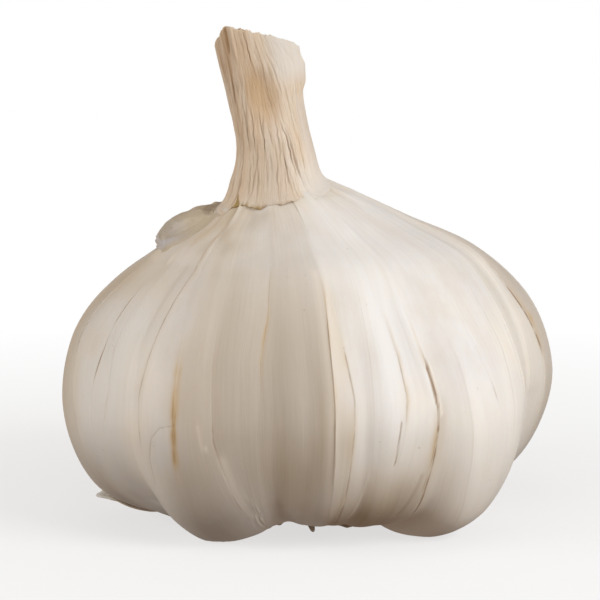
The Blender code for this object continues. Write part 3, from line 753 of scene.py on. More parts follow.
# Sides of the neck: middle azimuth and half width.
SLEEK_SIDE, FLARED_SIDE, PALE_SIDE = (350, 32), (205, 22), (332, 38)
FANNED_SIDE, LOW_FRONT_SHADE_SIDE, WAIST_SIDE = (305, 28), (262, 26), (185, 35)
BROWN_HEM, TAN_HEM = (240, 20), (272, 20)
GOLD_HEM = (205, 262, 6, 12, 0)  # azimuths of its ends, and the fades there
# A notch over the hem, narrower upwards: azimuth, half width, height, and lean in degrees to a mm.
SPLIT, SPLIT_HALF, SPLIT_HEIGHT, SPLIT_LEAN = 227.5, 3.8, 1.8, 4.5
PRESSED = (266, 36, 51.5, 3.8, 1.3, 0.75)  # where the neck is pressed smooth
TANNER = (243, 26, 57, 4.5, 1.4, 0.35)  # tanner straw on the left below the cut
NECK_BULGES = (0.2, 9, 3, 75)
NECK_TWIST = ((1.6, 16, 8, 71), (1.2, 60, 36, 70))  # degrees that the creases stray
CREASES, CREASE_SEED = 360, 74
LONG_CREASES = (
    (291, 1, 45.5, 3.6, 0.22, -1.5), (298, 1.1, 43.5, 4.5, 0.24, -1.5),
    (284, 0.9, 43, 3.6, 0.18, -1),
)
NECK_COLUMNS, NECK_ROWS, HEM_RINGS = 440, 170, 3
NECK_Z, NECK_HEIGHT = 38, 23  # the heights that the neck's noise covers
HEM_FREE, HEM_FREE_HALF = 257, 7  # the front, where the hem is free; elsewhere it runs into the skin
# The neck's cut: share of its width and depth below the rim.
CUT = ((0.955, 0.02), (0.93, 0.25), (0.92, 1.2), (0.88, 2.2), (0.5, 2.6), (0.05, 2.7))
# The sheaths: share of the neck's width and drop below the rim. Their walls: thickness and depth.
SHEATHS = ((0.84, 0.25), (0.72, 0.55), (0.58, 0.35), (0.45, 0.7), (0.32, 0.5), (0.18, 0.65))
SHEATH_WALL = ((0, 2.4), (0, 1), (0, 0.05), (0.035, 0), (0.04, 0.1), (0.04, 1.2), (0.04, 2.4))
SHEATH_COLUMNS = 260


def neck_section(z):
    """Centre in X, half width and half depth at each height, smoothed between the sections."""
    heights, *sizes = np.array(NECK_SECTIONS).T
    parts = []
    for row in sizes:
        below, at, above = (np.interp(z + off, heights, row) for off in (-1, 0, 1))
        parts.append(0.25 * below + 0.5 * at + 0.25 * above)
    return parts


def neck_ring(azimuth, z, share=1):
    """Centre in X, and radius of the neck's oval, at each azimuth and height."""
    centre, wide, deep = neck_section(z)
    turn = np.radians(azimuth)
    return centre, share / np.sqrt((np.cos(turn) / wide) ** 2 + (np.sin(turn) / deep) ** 2)


def neck_marks(azimuth, z):
    """The neck's dents and bulges, in millimetres."""
    relief = np.zeros_like(z)
    for middle, half, height, half_height, depth in NECK_MARKS:
        up = unit(1 - np.abs(z - height) / half_height)
        relief += depth * sector(azimuth, middle, half, 1) * ease(1.6 * up)
    return relief


def neck_low_front_shade(azimuth, z):
    """Painted shade: darker straw low on the front, where the neck meets the bulb."""
    return ease((51 - z) / 9) * bell(azimuth, *LOW_FRONT_SHADE_SIDE)


def neck_sleek(azimuth, z):
    """The smooth outer sheath on the right: 1 where it lies flat. As a colour it is painted shade on the
    key-lit side.
    """
    return sector(azimuth, *SLEEK_SIDE) * ease((53 - z) / 3)


def neck_rust(azimuth, z):
    """Brown streaks on the neck."""
    rust = np.zeros_like(z)
    for middle, half, height, reach, strength in RUST:
        along = np.exp(-(((z - height) / reach) ** 2))
        rust += strength * bell(azimuth, middle + RUST_SLANT * (height - z), half) * along
    return unit(rust * (0.6 + 0.8 * noise(azimuth / 360, (z - NECK_Z) / NECK_HEIGHT, 150, 8, 251)))


def make_creases():
    """Lengthwise creases of the neck: azimuth, half width in degrees, middle, half length, depth, slant."""
    rng = random.Random(CREASE_SEED)
    creases = []
    for i in range(CREASES):
        share = rng.random()
        azimuth = 360 * (i + rng.uniform(-0.5, 0.5)) / CREASES * 7 % 360
        half, middle, length = rng.uniform(0.55, 1.15), rng.uniform(38.5, 59), 0.8 + 4.2 * share**2
        depth, slant = rng.uniform(0.03, 0.1) + 0.1 * share**3, rng.uniform(-1.5, 1.5)
        creases.append((azimuth, half, middle, length, depth, slant))
    return creases


NECK_CREASES = (*make_creases(), *LONG_CREASES)


def neck_wrinkles(azimuth, z):
    """Relief of many separate creases that taper at both ends, over fine pleats, and their darkness, painted
    shade in the creases.
    """
    u, v = azimuth / 360, (z - NECK_Z) / NECK_HEIGHT
    flared = 3.6 * (z - 53) * ease((z - 51) / 3) * sector(azimuth, *FANNED_SIDE)
    turn = azimuth + flared + layered(u, v, *NECK_TWIST)
    creases = np.zeros_like(z)
    for middle, half, height, length, depth, slant in NECK_CREASES:
        off = turn_between(turn, middle + slant * (z - height)) / half
        creases += depth * unit(1 - ((z - height) / length) ** 2) * np.exp(-off * off)
    creases = creases * (1 - 0.45 * ease((z - 51.5) / 3))
    pleats = 0.035 * noise(u + 0.004 * noise(u, v, 20, 9, 71), v, 130, 7, 73)
    smooth = (1 - 0.8 * spot(azimuth, z, PRESSED)) * (1 - 0.85 * neck_sleek(azimuth, z))
    waist = 0.35 * bell(azimuth, *WAIST_SIDE) * np.exp(-(((z - 45) / 3.5) ** 2))
    broad = layered(u, v, NECK_BULGES) - waist
    return broad + (0.12 + pleats - creases) * smooth, unit(creases * 5 * smooth)


def neck_rings(azimuth):
    """The neck's points from the hem over the cut, and its looks at each."""
    u = azimuth / 360
    free = sector(azimuth, HEM_FREE, HEM_FREE_HALF, 6)
    ragged = layered(u, 0.5, (0.1, 40, 2, 83), (0.06, 120, 2, 84))
    hem_station = round_values(azimuth, NECK_HEM) + 0.8 * ragged * free - 0.35 * (1 - free)
    rim = round_values(azimuth, NECK_RIM) + layered(u, 0.3, *RIM_RIPPLES)
    rings = []
    looks = {"dent": [], "crease": [], "hem": [], "skinlike": []}

    def add_ring(points, **values):
        rings.append(points)
        for key, look in looks.items():
            look.append(np.broadcast_to(values.get(key, 0), azimuth.shape))

    for lift, inset in ((-0.05, 0.35), (-0.03, 0.05), (0.1 * free + 0.01 * (1 - free), 0)):
        points, normals = smooth_skin(azimuth, hem_station + inset)
        points = points + normals * np.broadcast_to(lift, azimuth.shape)[:, None]
        add_ring(points, hem=free, skinlike=1 - 0.8 * free)
    hem_z = rings[-1][:, 2]
    unflared = 1 - 0.85 * sector(azimuth, *FLARED_SIDE)
    for share in np.linspace(0, 1, NECK_ROWS)[1:] ** 1.05:
        z = hem_z + (rim - hem_z) * share
        centre, radius = neck_ring(azimuth, z)
        relief, creases = neck_wrinkles(azimuth, z)
        grow = ease(share / 0.1)
        radius = radius + (relief + neck_marks(azimuth, z)) * (0.25 + 0.75 * grow)
        lying, normals = smooth_skin(azimuth, hem_station + 4.2 * share)
        start = 0.12 * free + (0.01 + 0.08 * ease(share / 0.08)) * (1 - free)
        lying = lying + normals * (start + 0.25 * relief * grow)[:, None]
        blend = ease(share / 0.17)
        pale_top = 0.85 * sector(azimuth, *PALE_SIDE) * ease((z - 52) / 3)
        pale_foot = (1 - ease(share / 0.3)) * (1 - 0.8 * free) * unflared
        add_ring(
            lying * (1 - blend) + ring_points(azimuth, radius, z, centre) * blend,
            dent=spot(azimuth, z, PRESSED) + spot(azimuth, z, TANNER),
            crease=creases * (0.35 + 0.65 * grow),
            hem=free * np.exp(-share / 0.028),
            skinlike=np.maximum(pale_foot, pale_top),
        )
    for share, depth in CUT:
        z = rim - depth
        centre, radius = neck_ring(azimuth, z, share)
        inside = depth > 0.5
        points = ring_points(azimuth, radius + 0.6 * neck_marks(azimuth, z), z, centre)
        # Inside the cut the dent and crease colours are full: painted shade in the hollow
        add_ring(points, dent=1 if inside else 0.3, crease=1 if inside else 0)
    return np.array(rings), {key: np.array(look) for key, look in looks.items()}


def make_neck(material):
    azimuth = round_azimuths(NECK_COLUMNS)
    points, values = neck_rings(azimuth)
    z = points[..., 2]
    everywhere = np.broadcast_to(azimuth, z.shape)
    brown_hem = 0.9 * bell(azimuth, *BROWN_HEM) + 0.3 * bell(azimuth, *TAN_HEM)
    brown_hem = brown_hem * unit(0.65 + 0.9 * noise(azimuth / 360, 0.2, 110, 2, 85)) + 0.1
    above = z - z[HEM_RINGS - 1]
    half = SPLIT_HALF * (1 - above / SPLIT_HEIGHT)
    split = ease((half - np.abs(turn_between(azimuth, SPLIT - SPLIT_LEAN * above))) / 0.9) * (above > -0.05)
    values["hem"] = unit(values["hem"] * brown_hem + split)
    values["gold"] = np.maximum(split, window(azimuth, *GOLD_HEM))
    for key, look in (("low_front_shade", neck_low_front_shade), ("rust", neck_rust), ("sleek_shade", neck_sleek)):
        values[key] = look(everywhere, z)
    values["strand"] = strands(azimuth, z)
    faces = grid_faces(len(points), NECK_COLUMNS)
    add_piece("neck_skin", points, faces, material, values, "neck")


def make_sheaths(material):
    """The cut ends of the leaf sheaths inside the neck: thin rings, each torn at its own height."""
    azimuth = round_azimuths(SHEATH_COLUMNS)
    u = azimuth / 360
    rings, faces, crease = [], [], []
    for k, (share, drop) in enumerate(SHEATHS):
        torn = layered(u, 0.4, (0.28, 24, 2, 100 + k), (0.1, 90, 2, 120 + k))
        rim = round_values(azimuth, NECK_RIM) - drop + torn
        wave = layered(u, 0.5, (0.05, 14, 2, 140 + k), (0.02, 50, 2, 160 + k))
        faces += grid_faces(len(SHEATH_WALL), SHEATH_COLUMNS, len(rings) * SHEATH_COLUMNS)
        for wall, depth in SHEATH_WALL:
            centre, radius = neck_ring(azimuth, rim - depth, share + wave - wall)
            rings.append(ring_points(azimuth, radius, rim - depth, centre))
            # Darker deeper down each sheath's wall: painted shade inside the neck
            crease.append(np.full(SHEATH_COLUMNS, min(1, 0.15 + 0.45 * depth)))
    points = np.array(rings)
    none = np.zeros(points.shape[:2])
    values = dict.fromkeys(("hem", "skinlike", "rust", "sleek_shade", "gold", "low_front_shade"), none)
    values.update(dent=none + 0.5, crease=crease, strand=strands(azimuth, points[..., 2]))
    add_piece("neck_sheaths", points, faces, material, values, "neck")


# ---------------------------------------------------------------- loose skins
SKIN = 0.16  # thickness of a loose skin
BASE_INNER_R, BASE_HEM_R = 6.95, 9.3
# Tongues of the base skin: azimuth, how far they reach past the hem, and half width in degrees.
BASE_TONGUES = (
    (190, 16, 16.5), (257, 4.6, 9), (274.5, 6.9, 2.6), (292, 6.1, 13), (318, 5.2, 6),
)
BASE_LIE, BASE_RISE, BASE_CURL = 1.25, 2.4, 1.9  # height at the foot, and the rises inwards and outwards
BASE_COLUMNS, BASE_ROWS = 720, 26
DROOP_FROM, DROOP_SPAN, DROOP_SLOPE = 189, 9, 0.07  # the long tongue droops towards the front
FLAP_BACK, FLAP_FRONT = 134, (196, 212)  # the front edge, at the flap's foot and at its top
FLAP_STATIONS = (9.3, 7.6)
FLAP_HELD, FLAP_LIFT = 0.76, 1.4  # how far its upper face stands off the bulb, and how much more it bows
FLAP_COLUMNS, FLAP_ROWS = 190, 70


def sheet(name, upper, closed, material, values, node):
    """A thin shell below the grid of points upper, (rows, columns), with its edges closed."""
    normal = np.cross(np.gradient(upper, axis=1), np.gradient(upper, axis=0))
    normal /= np.maximum(np.linalg.norm(normal, axis=2, keepdims=True), 1e-9)
    rings = np.concatenate([(upper - SKIN * normal)[::-1], upper])
    height, count = rings.shape[:2]
    faces = grid_faces(height, count, closed=closed)
    i = np.arange(count if closed else count - 1)
    j = (i + 1) % count
    top = (height - 1) * count
    faces += np.stack([top + i, top + j, j, i], axis=1).tolist()
    half = height // 2
    for side in () if closed else (0, count - 1):
        for r in range(half - 1):
            low, up = (half - 1 - r) * count + side, (half + r) * count + side
            quad = [low, low - count, up + count, up]
            faces.append(quad if side else quad[::-1])
    values = {key: np.concatenate([value[::-1], value]) for key, value in values.items()}
    add_piece(name, rings, faces, material, values, node)


def underside(azimuth, radius):
    """Height of the bulb's underside at each azimuth and distance from the axis."""
    points, _ = smooth_skin(azimuth, np.linspace(0.9, 5, 60)[:, None])
    distance = np.hypot(points[..., 0], points[..., 1])
    heights = [np.interp(radius[:, i], distance[:, i], points[:, i, 2]) for i in range(len(azimuth))]
    return np.array(heights).T


def make_base_skin(material):
    azimuth = round_azimuths(BASE_COLUMNS)
    u = azimuth / 360
    edge = BASE_HEM_R + layered(u, 0.5, (0.5, 60, 2, 201), (0.4, 200, 2, 202))
    for middle, length, half in BASE_TONGUES:
        width = np.sqrt(ease(1.15 * (1 - np.abs(turn_between(azimuth, middle)) / half)))
        edge += (length + 0.4 * noise(u, 0.5, 120, 2, 203)) * width
    share = (np.linspace(0, 1, BASE_ROWS) ** 0.9)[:, None]
    radius = BASE_INNER_R + (edge - BASE_INNER_R) * share
    beyond = radius - FOOT_R
    clear = underside(azimuth, radius) - 0.12 - 0.25 * ease(beyond / 3)
    lie = BASE_LIE + BASE_RISE * ease((-beyond - 3) / 6) + BASE_CURL * ease(beyond / 6)
    droop = DROOP_SLOPE * np.clip(azimuth - DROOP_FROM, 0, DROOP_SPAN) * ease((beyond - 4) / 2.5)
    z = np.minimum(clear, lie - droop)
    z = z + layered(u, share, (0.1, 60, 6, 204), (0.06, 160, 10, 205))
    z = np.maximum(np.minimum(z, clear), SKIN + 0.02)
    tip = ease(beyond / 7)
    values = {
        "tip": 0.2 * tip,
        "edge": ease((share - 0.85) / 0.15) * np.ones_like(radius),
        "tan": 0.35 * tip,
        # The tongue's whitish tip, brightened further as painted light where it lies in shadow
        "white_and_light": 0.95 * ease(beyond - 6.4),
        "strand": strands(azimuth, radius * 0.3),
    }
    sheet("base_skin_torn", ring_points(azimuth, radius, z), True, material, values, "base_skin")


def make_shoulder_skin(material):
    across = np.linspace(0, 1, FLAP_COLUMNS)[None, :]
    along = np.linspace(0, 1, FLAP_ROWS)[::-1, None]
    u = 0.9 * across
    end = FLAP_STATIONS[1] + 0.6 * unit(1 - 2 * across) ** 3 - 0.12 * ease(across / 0.8)
    end = end + layered(u, 0.5, (0.07, 12, 2, 221), (0.05, 40, 2, 222))
    station = FLAP_STATIONS[0] + (end - FLAP_STATIONS[0]) * along
    front = FLAP_FRONT[1] + (FLAP_FRONT[0] - FLAP_FRONT[1]) * along
    front = front + layered(0.35, along, (2, 4, 7, 223), (0.8, 4, 24, 227))
    azimuth = FLAP_BACK + (front - FLAP_BACK) * across
    points, normals = smooth_skin(azimuth, station)
    bow = 1 - 0.9 * np.abs(2 * np.minimum(1.3 * across, 1) - 1) ** 2.2
    held = 1 - 1.25 * ease((across - 0.55) / 0.45)
    rise = np.sin(0.86 * math.pi * along) * ease(along / 0.25)
    lift = FLAP_HELD * held * ease(along / 0.18) + FLAP_LIFT * bow * rise
    rough = layered(u, along, (0.16, 22, 5, 224), (0.07, 48, 11, 225))
    lift = lift + rough * np.maximum(held, 0.15)
    blotches = layered(u, along, (1.5, 8, 4, 226), (0.75, 20, 9, 228))
    values = {
        "tip": unit(0.6 + blotches) * (0.2 + 0.8 * ease((along - 0.3) / 0.4)),
        "edge": ease((along - 0.9) / 0.1) * np.ones_like(station),
        "tan": np.maximum(ease((across - 0.8) / 0.2), 0.9 * ease((0.75 - along) / 0.5)),
        "white_and_light": np.zeros_like(station),
        "strand": strands(azimuth, station),
    }
    upper = points + normals * lift[..., None]
    sheet("shoulder_skin_torn", upper, False, material, values, "shoulder_skin")


# ---------------------------------------------------------------- the root plate
PLATE_R, PLATE_COLUMNS = 6.1, 180
# Share of the plate's radius, and height.
PLATE_OUTLINE = (
    (0.4, 4.2), (0.92, 4.1), (1, 3.6), (0.99, 2.9), (0.93, 2.35),
    (0.84, 2.15), (0.7, 2.05), (0.5, 2), (0.3, 1.95), (0.02, 1.95),
)
ROOT_Z = 2.4
ROOT_RINGS = ((0.8, 4), (1.8, 8), (2.9, 14), (4, 19), (5, 25))  # distance from the axis, and number
ROOT_SIDES, ROOT_LEVELS, ROOT_SEED = 7, 6, 243


def rootlet(rng, distance, number, i):
    """Rings of points down one rootlet of a ring of them round the axis."""
    about = math.tau * (i + rng.uniform(-0.3, 0.3)) / number
    out = np.array([math.cos(about), math.sin(about), 0])
    splay = 0.05 * distance + rng.uniform(-0.05, 0.12)
    bend = np.array([rng.uniform(-0.25, 0.25), rng.uniform(-0.25, 0.25), 0])
    length, thick = rng.uniform(1.2, 2.1), rng.uniform(0.24, 0.42)
    foot, growth = out * distance + (0, 0, ROOT_Z), (out * splay - (0, 0, 1)) * length
    rings = []
    for t in np.linspace(0, 1, ROOT_LEVELS):
        radius = thick * (1 - 0.3 * t + 0.12 * math.sin(5 * t + i))
        ring = ring_points(round_azimuths(ROOT_SIDES), radius, np.zeros(ROOT_SIDES))
        rings.append(foot + growth * t + bend * t * t + ring)
    return rings


def make_root_plate(material):
    azimuth = round_azimuths(PLATE_COLUMNS)
    u = azimuth / 360
    rings = []
    for k, (share, z) in enumerate(PLATE_OUTLINE):
        radius = PLATE_R * share - 0.12 * np.abs(noise(u, k / 9, 50, 6, 241)) * (share > 0.5)
        rings.append(ring_points(azimuth, radius, z + 0.12 * noise(u, k / 9, 40, 9, 242) * (z < 3)))
    faces = grid_faces(len(rings), PLATE_COLUMNS)
    start = len(rings) * PLATE_COLUMNS
    rng = random.Random(ROOT_SEED)
    for distance, number in ROOT_RINGS:
        for i in range(number):
            rings += rootlet(rng, distance, number, i)
            faces += grid_faces(ROOT_LEVELS, ROOT_SIDES, start)
            start += ROOT_LEVELS * ROOT_SIDES
            faces.append(list(range(start - ROOT_SIDES, start)))
    faces = [face[::-1] for face in faces]
    add_piece("root_plate_cork", np.concatenate(rings), faces, material, {}, "root_plate")


# ---------------------------------------------------------------- materials
class Nodes:
    """The nodes of a material or world, added and linked with short calls."""

    def __init__(self, owner):
        owner.use_nodes = True
        self.owner = owner
        self.tree = owner.node_tree
        self.shader = self.tree.nodes.get("Principled BSDF")

    def add(self, kind, inputs=None, **settings):
        node = self.tree.nodes.new("ShaderNode" + kind)
        for key, value in settings.items():
            setattr(node, key, value)
        for key, value in (inputs or {}).items():
            self.put(node, key, value)
        return node

    def put(self, node, key, value):
        """Links a socket to the input, or sets the input to a number or colour."""
        if isinstance(value, bpy.types.NodeSocket):
            self.tree.links.new(value, node.inputs[key])
        else:
            node.inputs[key].default_value = value

    def attribute(self, name, output="Fac"):
        return self.add("Attribute", attribute_name=name).outputs[output]

    def place(self):
        return self.add("TexCoord").outputs["Object"]

    def noise(self, vector, scale, detail, roughness):
        inputs = {"Vector": vector, "Scale": scale, "Detail": detail, "Roughness": roughness}
        return self.add("TexNoise", inputs).outputs["Fac"]

    def stretched(self, vector, across, along, *settings):
        """Noise with its own cells across and along a vector's third axis."""
        scaled = self.add("Mapping", {"Vector": vector, "Scale": (across, across, along)})
        return self.noise(scaled.outputs["Vector"], *settings)

    def strand(self, across, along, *settings):
        return self.stretched(self.attribute("strand", "Vector"), across, along, 1, *settings)

    def ramp(self, value, *stops):
        node = self.add("ValToRGB", {"Fac": value})
        elements = node.color_ramp.elements
        while len(elements) < len(stops):
            elements.new(0.5)
        for element, (place, colour) in zip(elements, stops):
            element.position = place
            element.color = (*colour, 1) if isinstance(colour, tuple) else (colour, colour, colour, 1)
        return node.outputs["Color"]

    def span(self, value, low, high, to_low=0, to_high=1):
        inputs = {"Value": value, "From Min": low, "From Max": high, "To Min": to_low, "To Max": to_high}
        return self.add("MapRange", inputs).outputs["Result"]

    def times(self, a, b):
        return self.add("Math", {0: a, 1: b}, operation="MULTIPLY").outputs[0]

    def mix(self, share, under, over):
        node = self.add("Mix", {0: share}, data_type="RGBA")
        for key, value in ((6, under), (7, over)):
            self.put(node, key, (*value, 1) if isinstance(value, tuple) else value)
        return node.outputs[2]

    def coats(self, colour, *coats):
        """Lays colours over a first one, each with its mask or an attribute's name, and its strength."""
        for mask, strength, over in coats:
            mask = self.attribute(mask) if isinstance(mask, str) else mask
            colour = self.mix(mask if strength == 1 else self.times(mask, strength), colour, over)
        return colour

    def bump(self, height, strength, distance, under=None):
        inputs = {"Height": height, "Strength": strength, "Distance": distance}
        if under is not None:
            inputs["Normal"] = under
        return self.add("Bump", inputs).outputs["Normal"]

    def finish(self, **inputs):
        """Sets the shader's inputs, by their names with _ for a space."""
        for key, value in inputs.items():
            self.put(self.shader, key.replace("_", " "), value)
        return self.owner


def new_material(name):
    return Nodes(bpy.data.materials.new(name))


CREAM = (0.805, 0.765, 0.7)
COOL = (0.8, 0.775, 0.765)
SALLOW = (0.68, 0.62, 0.545)
# Tan, partly painted shade
TANNED_AND_SHADED = (0.46, 0.383, 0.297)
YELLOWED = (0.72, 0.6, 0.44)
# Brown and grey, with painted shade low on the bulb
OLD_AND_SHADE = (0.44, 0.335, 0.22)
DULL_SHADE = (0.43, 0.4, 0.38)
MILKY = (0.85, 0.83, 0.81)
# Whiter skin, and painted light
WHITE_AND_LIGHT = (0.91, 0.85, 0.77)
VEIN, VEIN_BAND = (0.6, 0.505, 0.4), (0.67, 0.6, 0.52)
FIBRE_LIGHT, FIBRE_DARK = (0.87, 0.82, 0.745), (0.6, 0.52, 0.43)
SHADE = (0.48, 0.42, 0.345)
TAN = (0.58, 0.4, 0.2)
DARK_TAN = (0.33, 0.19, 0.075)
# Brown lines, and painted shade under the lips
LINE_AND_GAP_SHADE = (0.28, 0.165, 0.08)
SPECK = (0.42, 0.33, 0.24)
# Painted highlight on lit edges
PALE_AND_HIGHLIGHT = (0.87, 0.79, 0.69)
VEIN_LINES = ((0, 0), (0.455, 0), (0.487, 1), (0.52, 0), (0.56, 0), (0.585, 0.8), (0.61, 0))


def bulb_material():
    n = new_material("garlic_skin")
    fibre = n.strand(230, 1.6, 4, 0.6)
    vein = n.strand(34, 0.35, 2, 0.45)
    band = n.strand(9, 0.5, 3, 0.5)
    mottle = n.noise(n.place(), 95, 4, 0.55)
    speck = n.noise(n.place(), 1500, 2, 0.5)
    blotch = n.stretched(n.place(), 1, 0.45, 210, 4, 0.6)
    stain = n.times(n.attribute("brown"), n.span(fibre, 0.2, 0.6, 0.5, 1))
    colour = n.coats(
        n.mix(n.span(mottle, 0.38, 0.62), CREAM, COOL),
        (n.span(blotch, 0.48, 0.7, 0, 0.45), 1, SALLOW),
        ("warm", n.span(band, 0.3, 0.6, 0.5, 1), YELLOWED),
        ("yellow", 1, YELLOWED),
        ("milky", 0.9, MILKY),
        # Whiter skin, and painted light
        ("white_and_light", 1, WHITE_AND_LIGHT),
        # Tan skin and painted shade
        ("tone_and_shade", 1, TANNED_AND_SHADED),
        # Brown skin, and painted shade low on the bulb
        ("old_and_shade", 1, OLD_AND_SHADE),
        # Painted shade
        ("dull_shade", 1, DULL_SHADE),
        (n.ramp(vein, *VEIN_LINES), 0.04, VEIN),
        (n.span(vein, 0.4, 0.65, 0, 0.12), 1, VEIN_BAND),
        (n.span(fibre, 0.35, 0.75, 0, 0.1), 1, FIBRE_LIGHT),
        (n.span(fibre, 0.45, 0.2, 0, 0.07), 1, FIBRE_DARK),
        ("shade", 0.42, SHADE),
        (n.span(stain, 0, 0.6, 0, 0.85), 1, TAN),
        (n.span(stain, 0.55, 1, 0, 0.75), 1, DARK_TAN),
        # Brown lines, with painted shade under the lips and in the tear's gap
        (n.span(n.attribute("line_and_gap_shade"), 0.1, 0.8, 0, 0.85), 1, LINE_AND_GAP_SHADE),
        (n.span(speck, 0.74, 0.82, 0, 0.5), 1, SPECK),
        # Painted highlight on lit edges, with some real pale scratches
        ("pale_and_highlight", 1, PALE_AND_HIGHLIGHT),
    )
    return n.finish(
        Base_Color=colour,
        Roughness=n.span(fibre, 0.2, 0.8, 0.44, 0.62),
        Normal=n.bump(fibre, 0.09, 0.00022, n.bump(vein, 0.06, 0.0006)),
        Specular_IOR_Level=0.42,
        Subsurface_Weight=0.1,
        Subsurface_Scale=0.0022,
        Subsurface_Radius=(1, 0.72, 0.5),
        Sheen_Weight=0.06,
        Sheen_Roughness=0.4,
    )


STRAW_DARK, STRAW_LIGHT, STRAW_BLOTCH = (0.79, 0.61, 0.43), (0.89, 0.78, 0.665), (0.6, 0.44, 0.3)
STRAW_FIBRE_LIGHT, STRAW_FIBRE_DARK = (0.9, 0.8, 0.69), (0.53, 0.36, 0.22)
# Painted shade low on the neck's front
STRAW_LOW_FRONT_SHADE = (0.5, 0.4, 0.31)
STRAW_DENT = (0.56, 0.36, 0.185)
STRAW_RUST = (0.5, 0.29, 0.13)
# Painted shade in the creases and inside the cut
STRAW_CREASE_SHADE = (0.36, 0.21, 0.11)
# Painted shade on the key-lit right side
STRAW_SLEEK_SHADE = (0.7, 0.61, 0.525)
STRAW_SKIN = (0.82, 0.755, 0.68)
HEM_BROWN, HEM_GOLD = (0.26, 0.145, 0.05), (0.38, 0.25, 0.075)


def neck_material():
    n = new_material("neck_straw_dry")
    fibre = n.strand(44, 0.5, 5, 0.68)
    broad = n.strand(5, 0.12, 3, 0.5)
    blotch = n.noise(n.place(), 170, 4, 0.6)
    hem = n.mix(n.attribute("gold"), HEM_BROWN, HEM_GOLD)
    colour = n.coats(
        n.mix(n.span(broad, 0.3, 0.7), STRAW_DARK, STRAW_LIGHT),
        (n.span(blotch, 0.45, 0.75, 0, 0.4), 1, STRAW_BLOTCH),
        (n.span(fibre, 0.5, 0.72, 0, 0.6), 1, STRAW_FIBRE_LIGHT),
        (n.span(fibre, 0.48, 0.26, 0, 0.45), 1, STRAW_FIBRE_DARK),
        # Painted shade low on the neck's front
        ("low_front_shade", 0.55, STRAW_LOW_FRONT_SHADE),
        ("dent", 0.95, STRAW_DENT),
        ("rust", 0.7, STRAW_RUST),
        # Painted shade in the creases and inside the cut
        ("crease", 0.7, STRAW_CREASE_SHADE),
        # Painted shade on the key-lit right side
        ("sleek_shade", 0.6, STRAW_SLEEK_SHADE),
        ("skinlike", 1, STRAW_SKIN),
        (n.span(n.attribute("hem"), 0.15, 0.6, 0, 0.92), 1, hem),
    )
    return n.finish(
        Base_Color=colour,
        Roughness=n.span(fibre, 0.2, 0.8, 0.62, 0.82),
        Normal=n.bump(fibre, 0.55, 0.0004),
        Specular_IOR_Level=0.3,
        Subsurface_Weight=0.05,
        Subsurface_Scale=0.0012,
        Subsurface_Radius=(1, 0.65, 0.4),
        Sheen_Weight=0.08,
    )


TORN_BROWN, TORN_GREY, TORN_EDGE = (0.47, 0.38, 0.27), (0.55, 0.49, 0.44), (0.45, 0.33, 0.2)
# The tongue tip's white is brightened as painted light
TORN_TIP, TORN_TAN, TORN_WHITE_AND_LIGHT = (0.66, 0.61, 0.62), (0.7, 0.575, 0.41), (0.84, 0.83, 0.8)
TORN_LIGHT, TORN_DARK = (0.8, 0.74, 0.67), (0.38, 0.29, 0.21)


def torn_material():
    n = new_material("torn_outer_skin")
    fibre = n.strand(170, 2.4, 4, 0.6)
    mottle = n.noise(n.place(), 210, 3, 0.55)
    colour = n.coats(
        n.mix(n.span(mottle, 0.35, 0.65), TORN_BROWN, TORN_GREY),
        ("tip", 0.8, TORN_TIP),
        ("tan", 0.9, TORN_TAN),
        (n.span(fibre, 0.55, 0.8, 0, 0.4), 1, TORN_LIGHT),
        (n.span(fibre, 0.45, 0.2, 0, 0.4), 1, TORN_DARK),
        ("edge", 0.25, TORN_EDGE),
        # The tongue's whitish tip, brightened as painted light
        ("white_and_light", 1, TORN_WHITE_AND_LIGHT),
    )
    return n.finish(
        Base_Color=colour,
        Roughness=n.span(fibre, 0.2, 0.8, 0.5, 0.7),
        Normal=n.bump(fibre, 0.4, 0.00025),
        Specular_IOR_Level=0.4,
        Subsurface_Weight=0.2,
        Subsurface_Scale=0.002,
        Subsurface_Radius=(1, 0.75, 0.55),
        Sheen_Weight=0.1,
    )


CORK_GRAIN = ((0.25, (0.13, 0.085, 0.05)), (0.5, (0.36, 0.26, 0.165)), (0.78, (0.6, 0.48, 0.35)))
CORK_PATCH = (0.55, 0.46, 0.36)


def cork_material():
    n = new_material("root_cork_dry")
    grain = n.noise(n.place(), 900, 5, 0.65)
    patch = n.noise(n.place(), 260, 3, 0.5)
    colour = n.mix(n.span(patch, 0.45, 0.7, 0, 0.5), n.ramp(grain, *CORK_GRAIN), CORK_PATCH)
    rough = n.span(grain, 0.3, 0.7, 0.75, 0.92)
    normal = n.bump(grain, 0.7, 0.0005)
    return n.finish(Base_Color=colour, Roughness=rough, Normal=normal, Specular_IOR_Level=0.25)


# ---------------------------------------------------------------- the studio
FLOOR_HALF, FLOOR_Z = 3, -0.00003  # metres, as all sizes of the studio are
FLOOR_GREY = (0.86, 0.86, 0.86, 1)
CLEAN_WHITE = (1, 1, 1, 1)
SURROUND, SURROUND_STRENGTH = (1, 0.8, 0.67, 1), 0.24
# Name, azimuth, elevation, distance, size, energy and colour.
LIGHTS = (
    ("key", -39, 26, 0.55, 0.28, 2.66, (0.96, 0.99, 1)),
    ("fill", 199, 15, 0.6, 0.26, 1.7, (1, 0.99, 0.93)),
    ("top", 250, 72, 0.6, 0.3, 0.26, (0.9, 0.96, 1)),
)
LIGHT_AIM = Vector((0, 0, 0.025))
CAMERA_AZIMUTH, CAMERA_ELEVATION = -90, 9
CAMERA_LENS, CAMERA_SENSOR = 150, 36
FRAME_WIDTH = 0.0736  # metres across the frame at the bulb
CAMERA_TARGET = Vector((-0.00125, -0.0002, 0.0263))


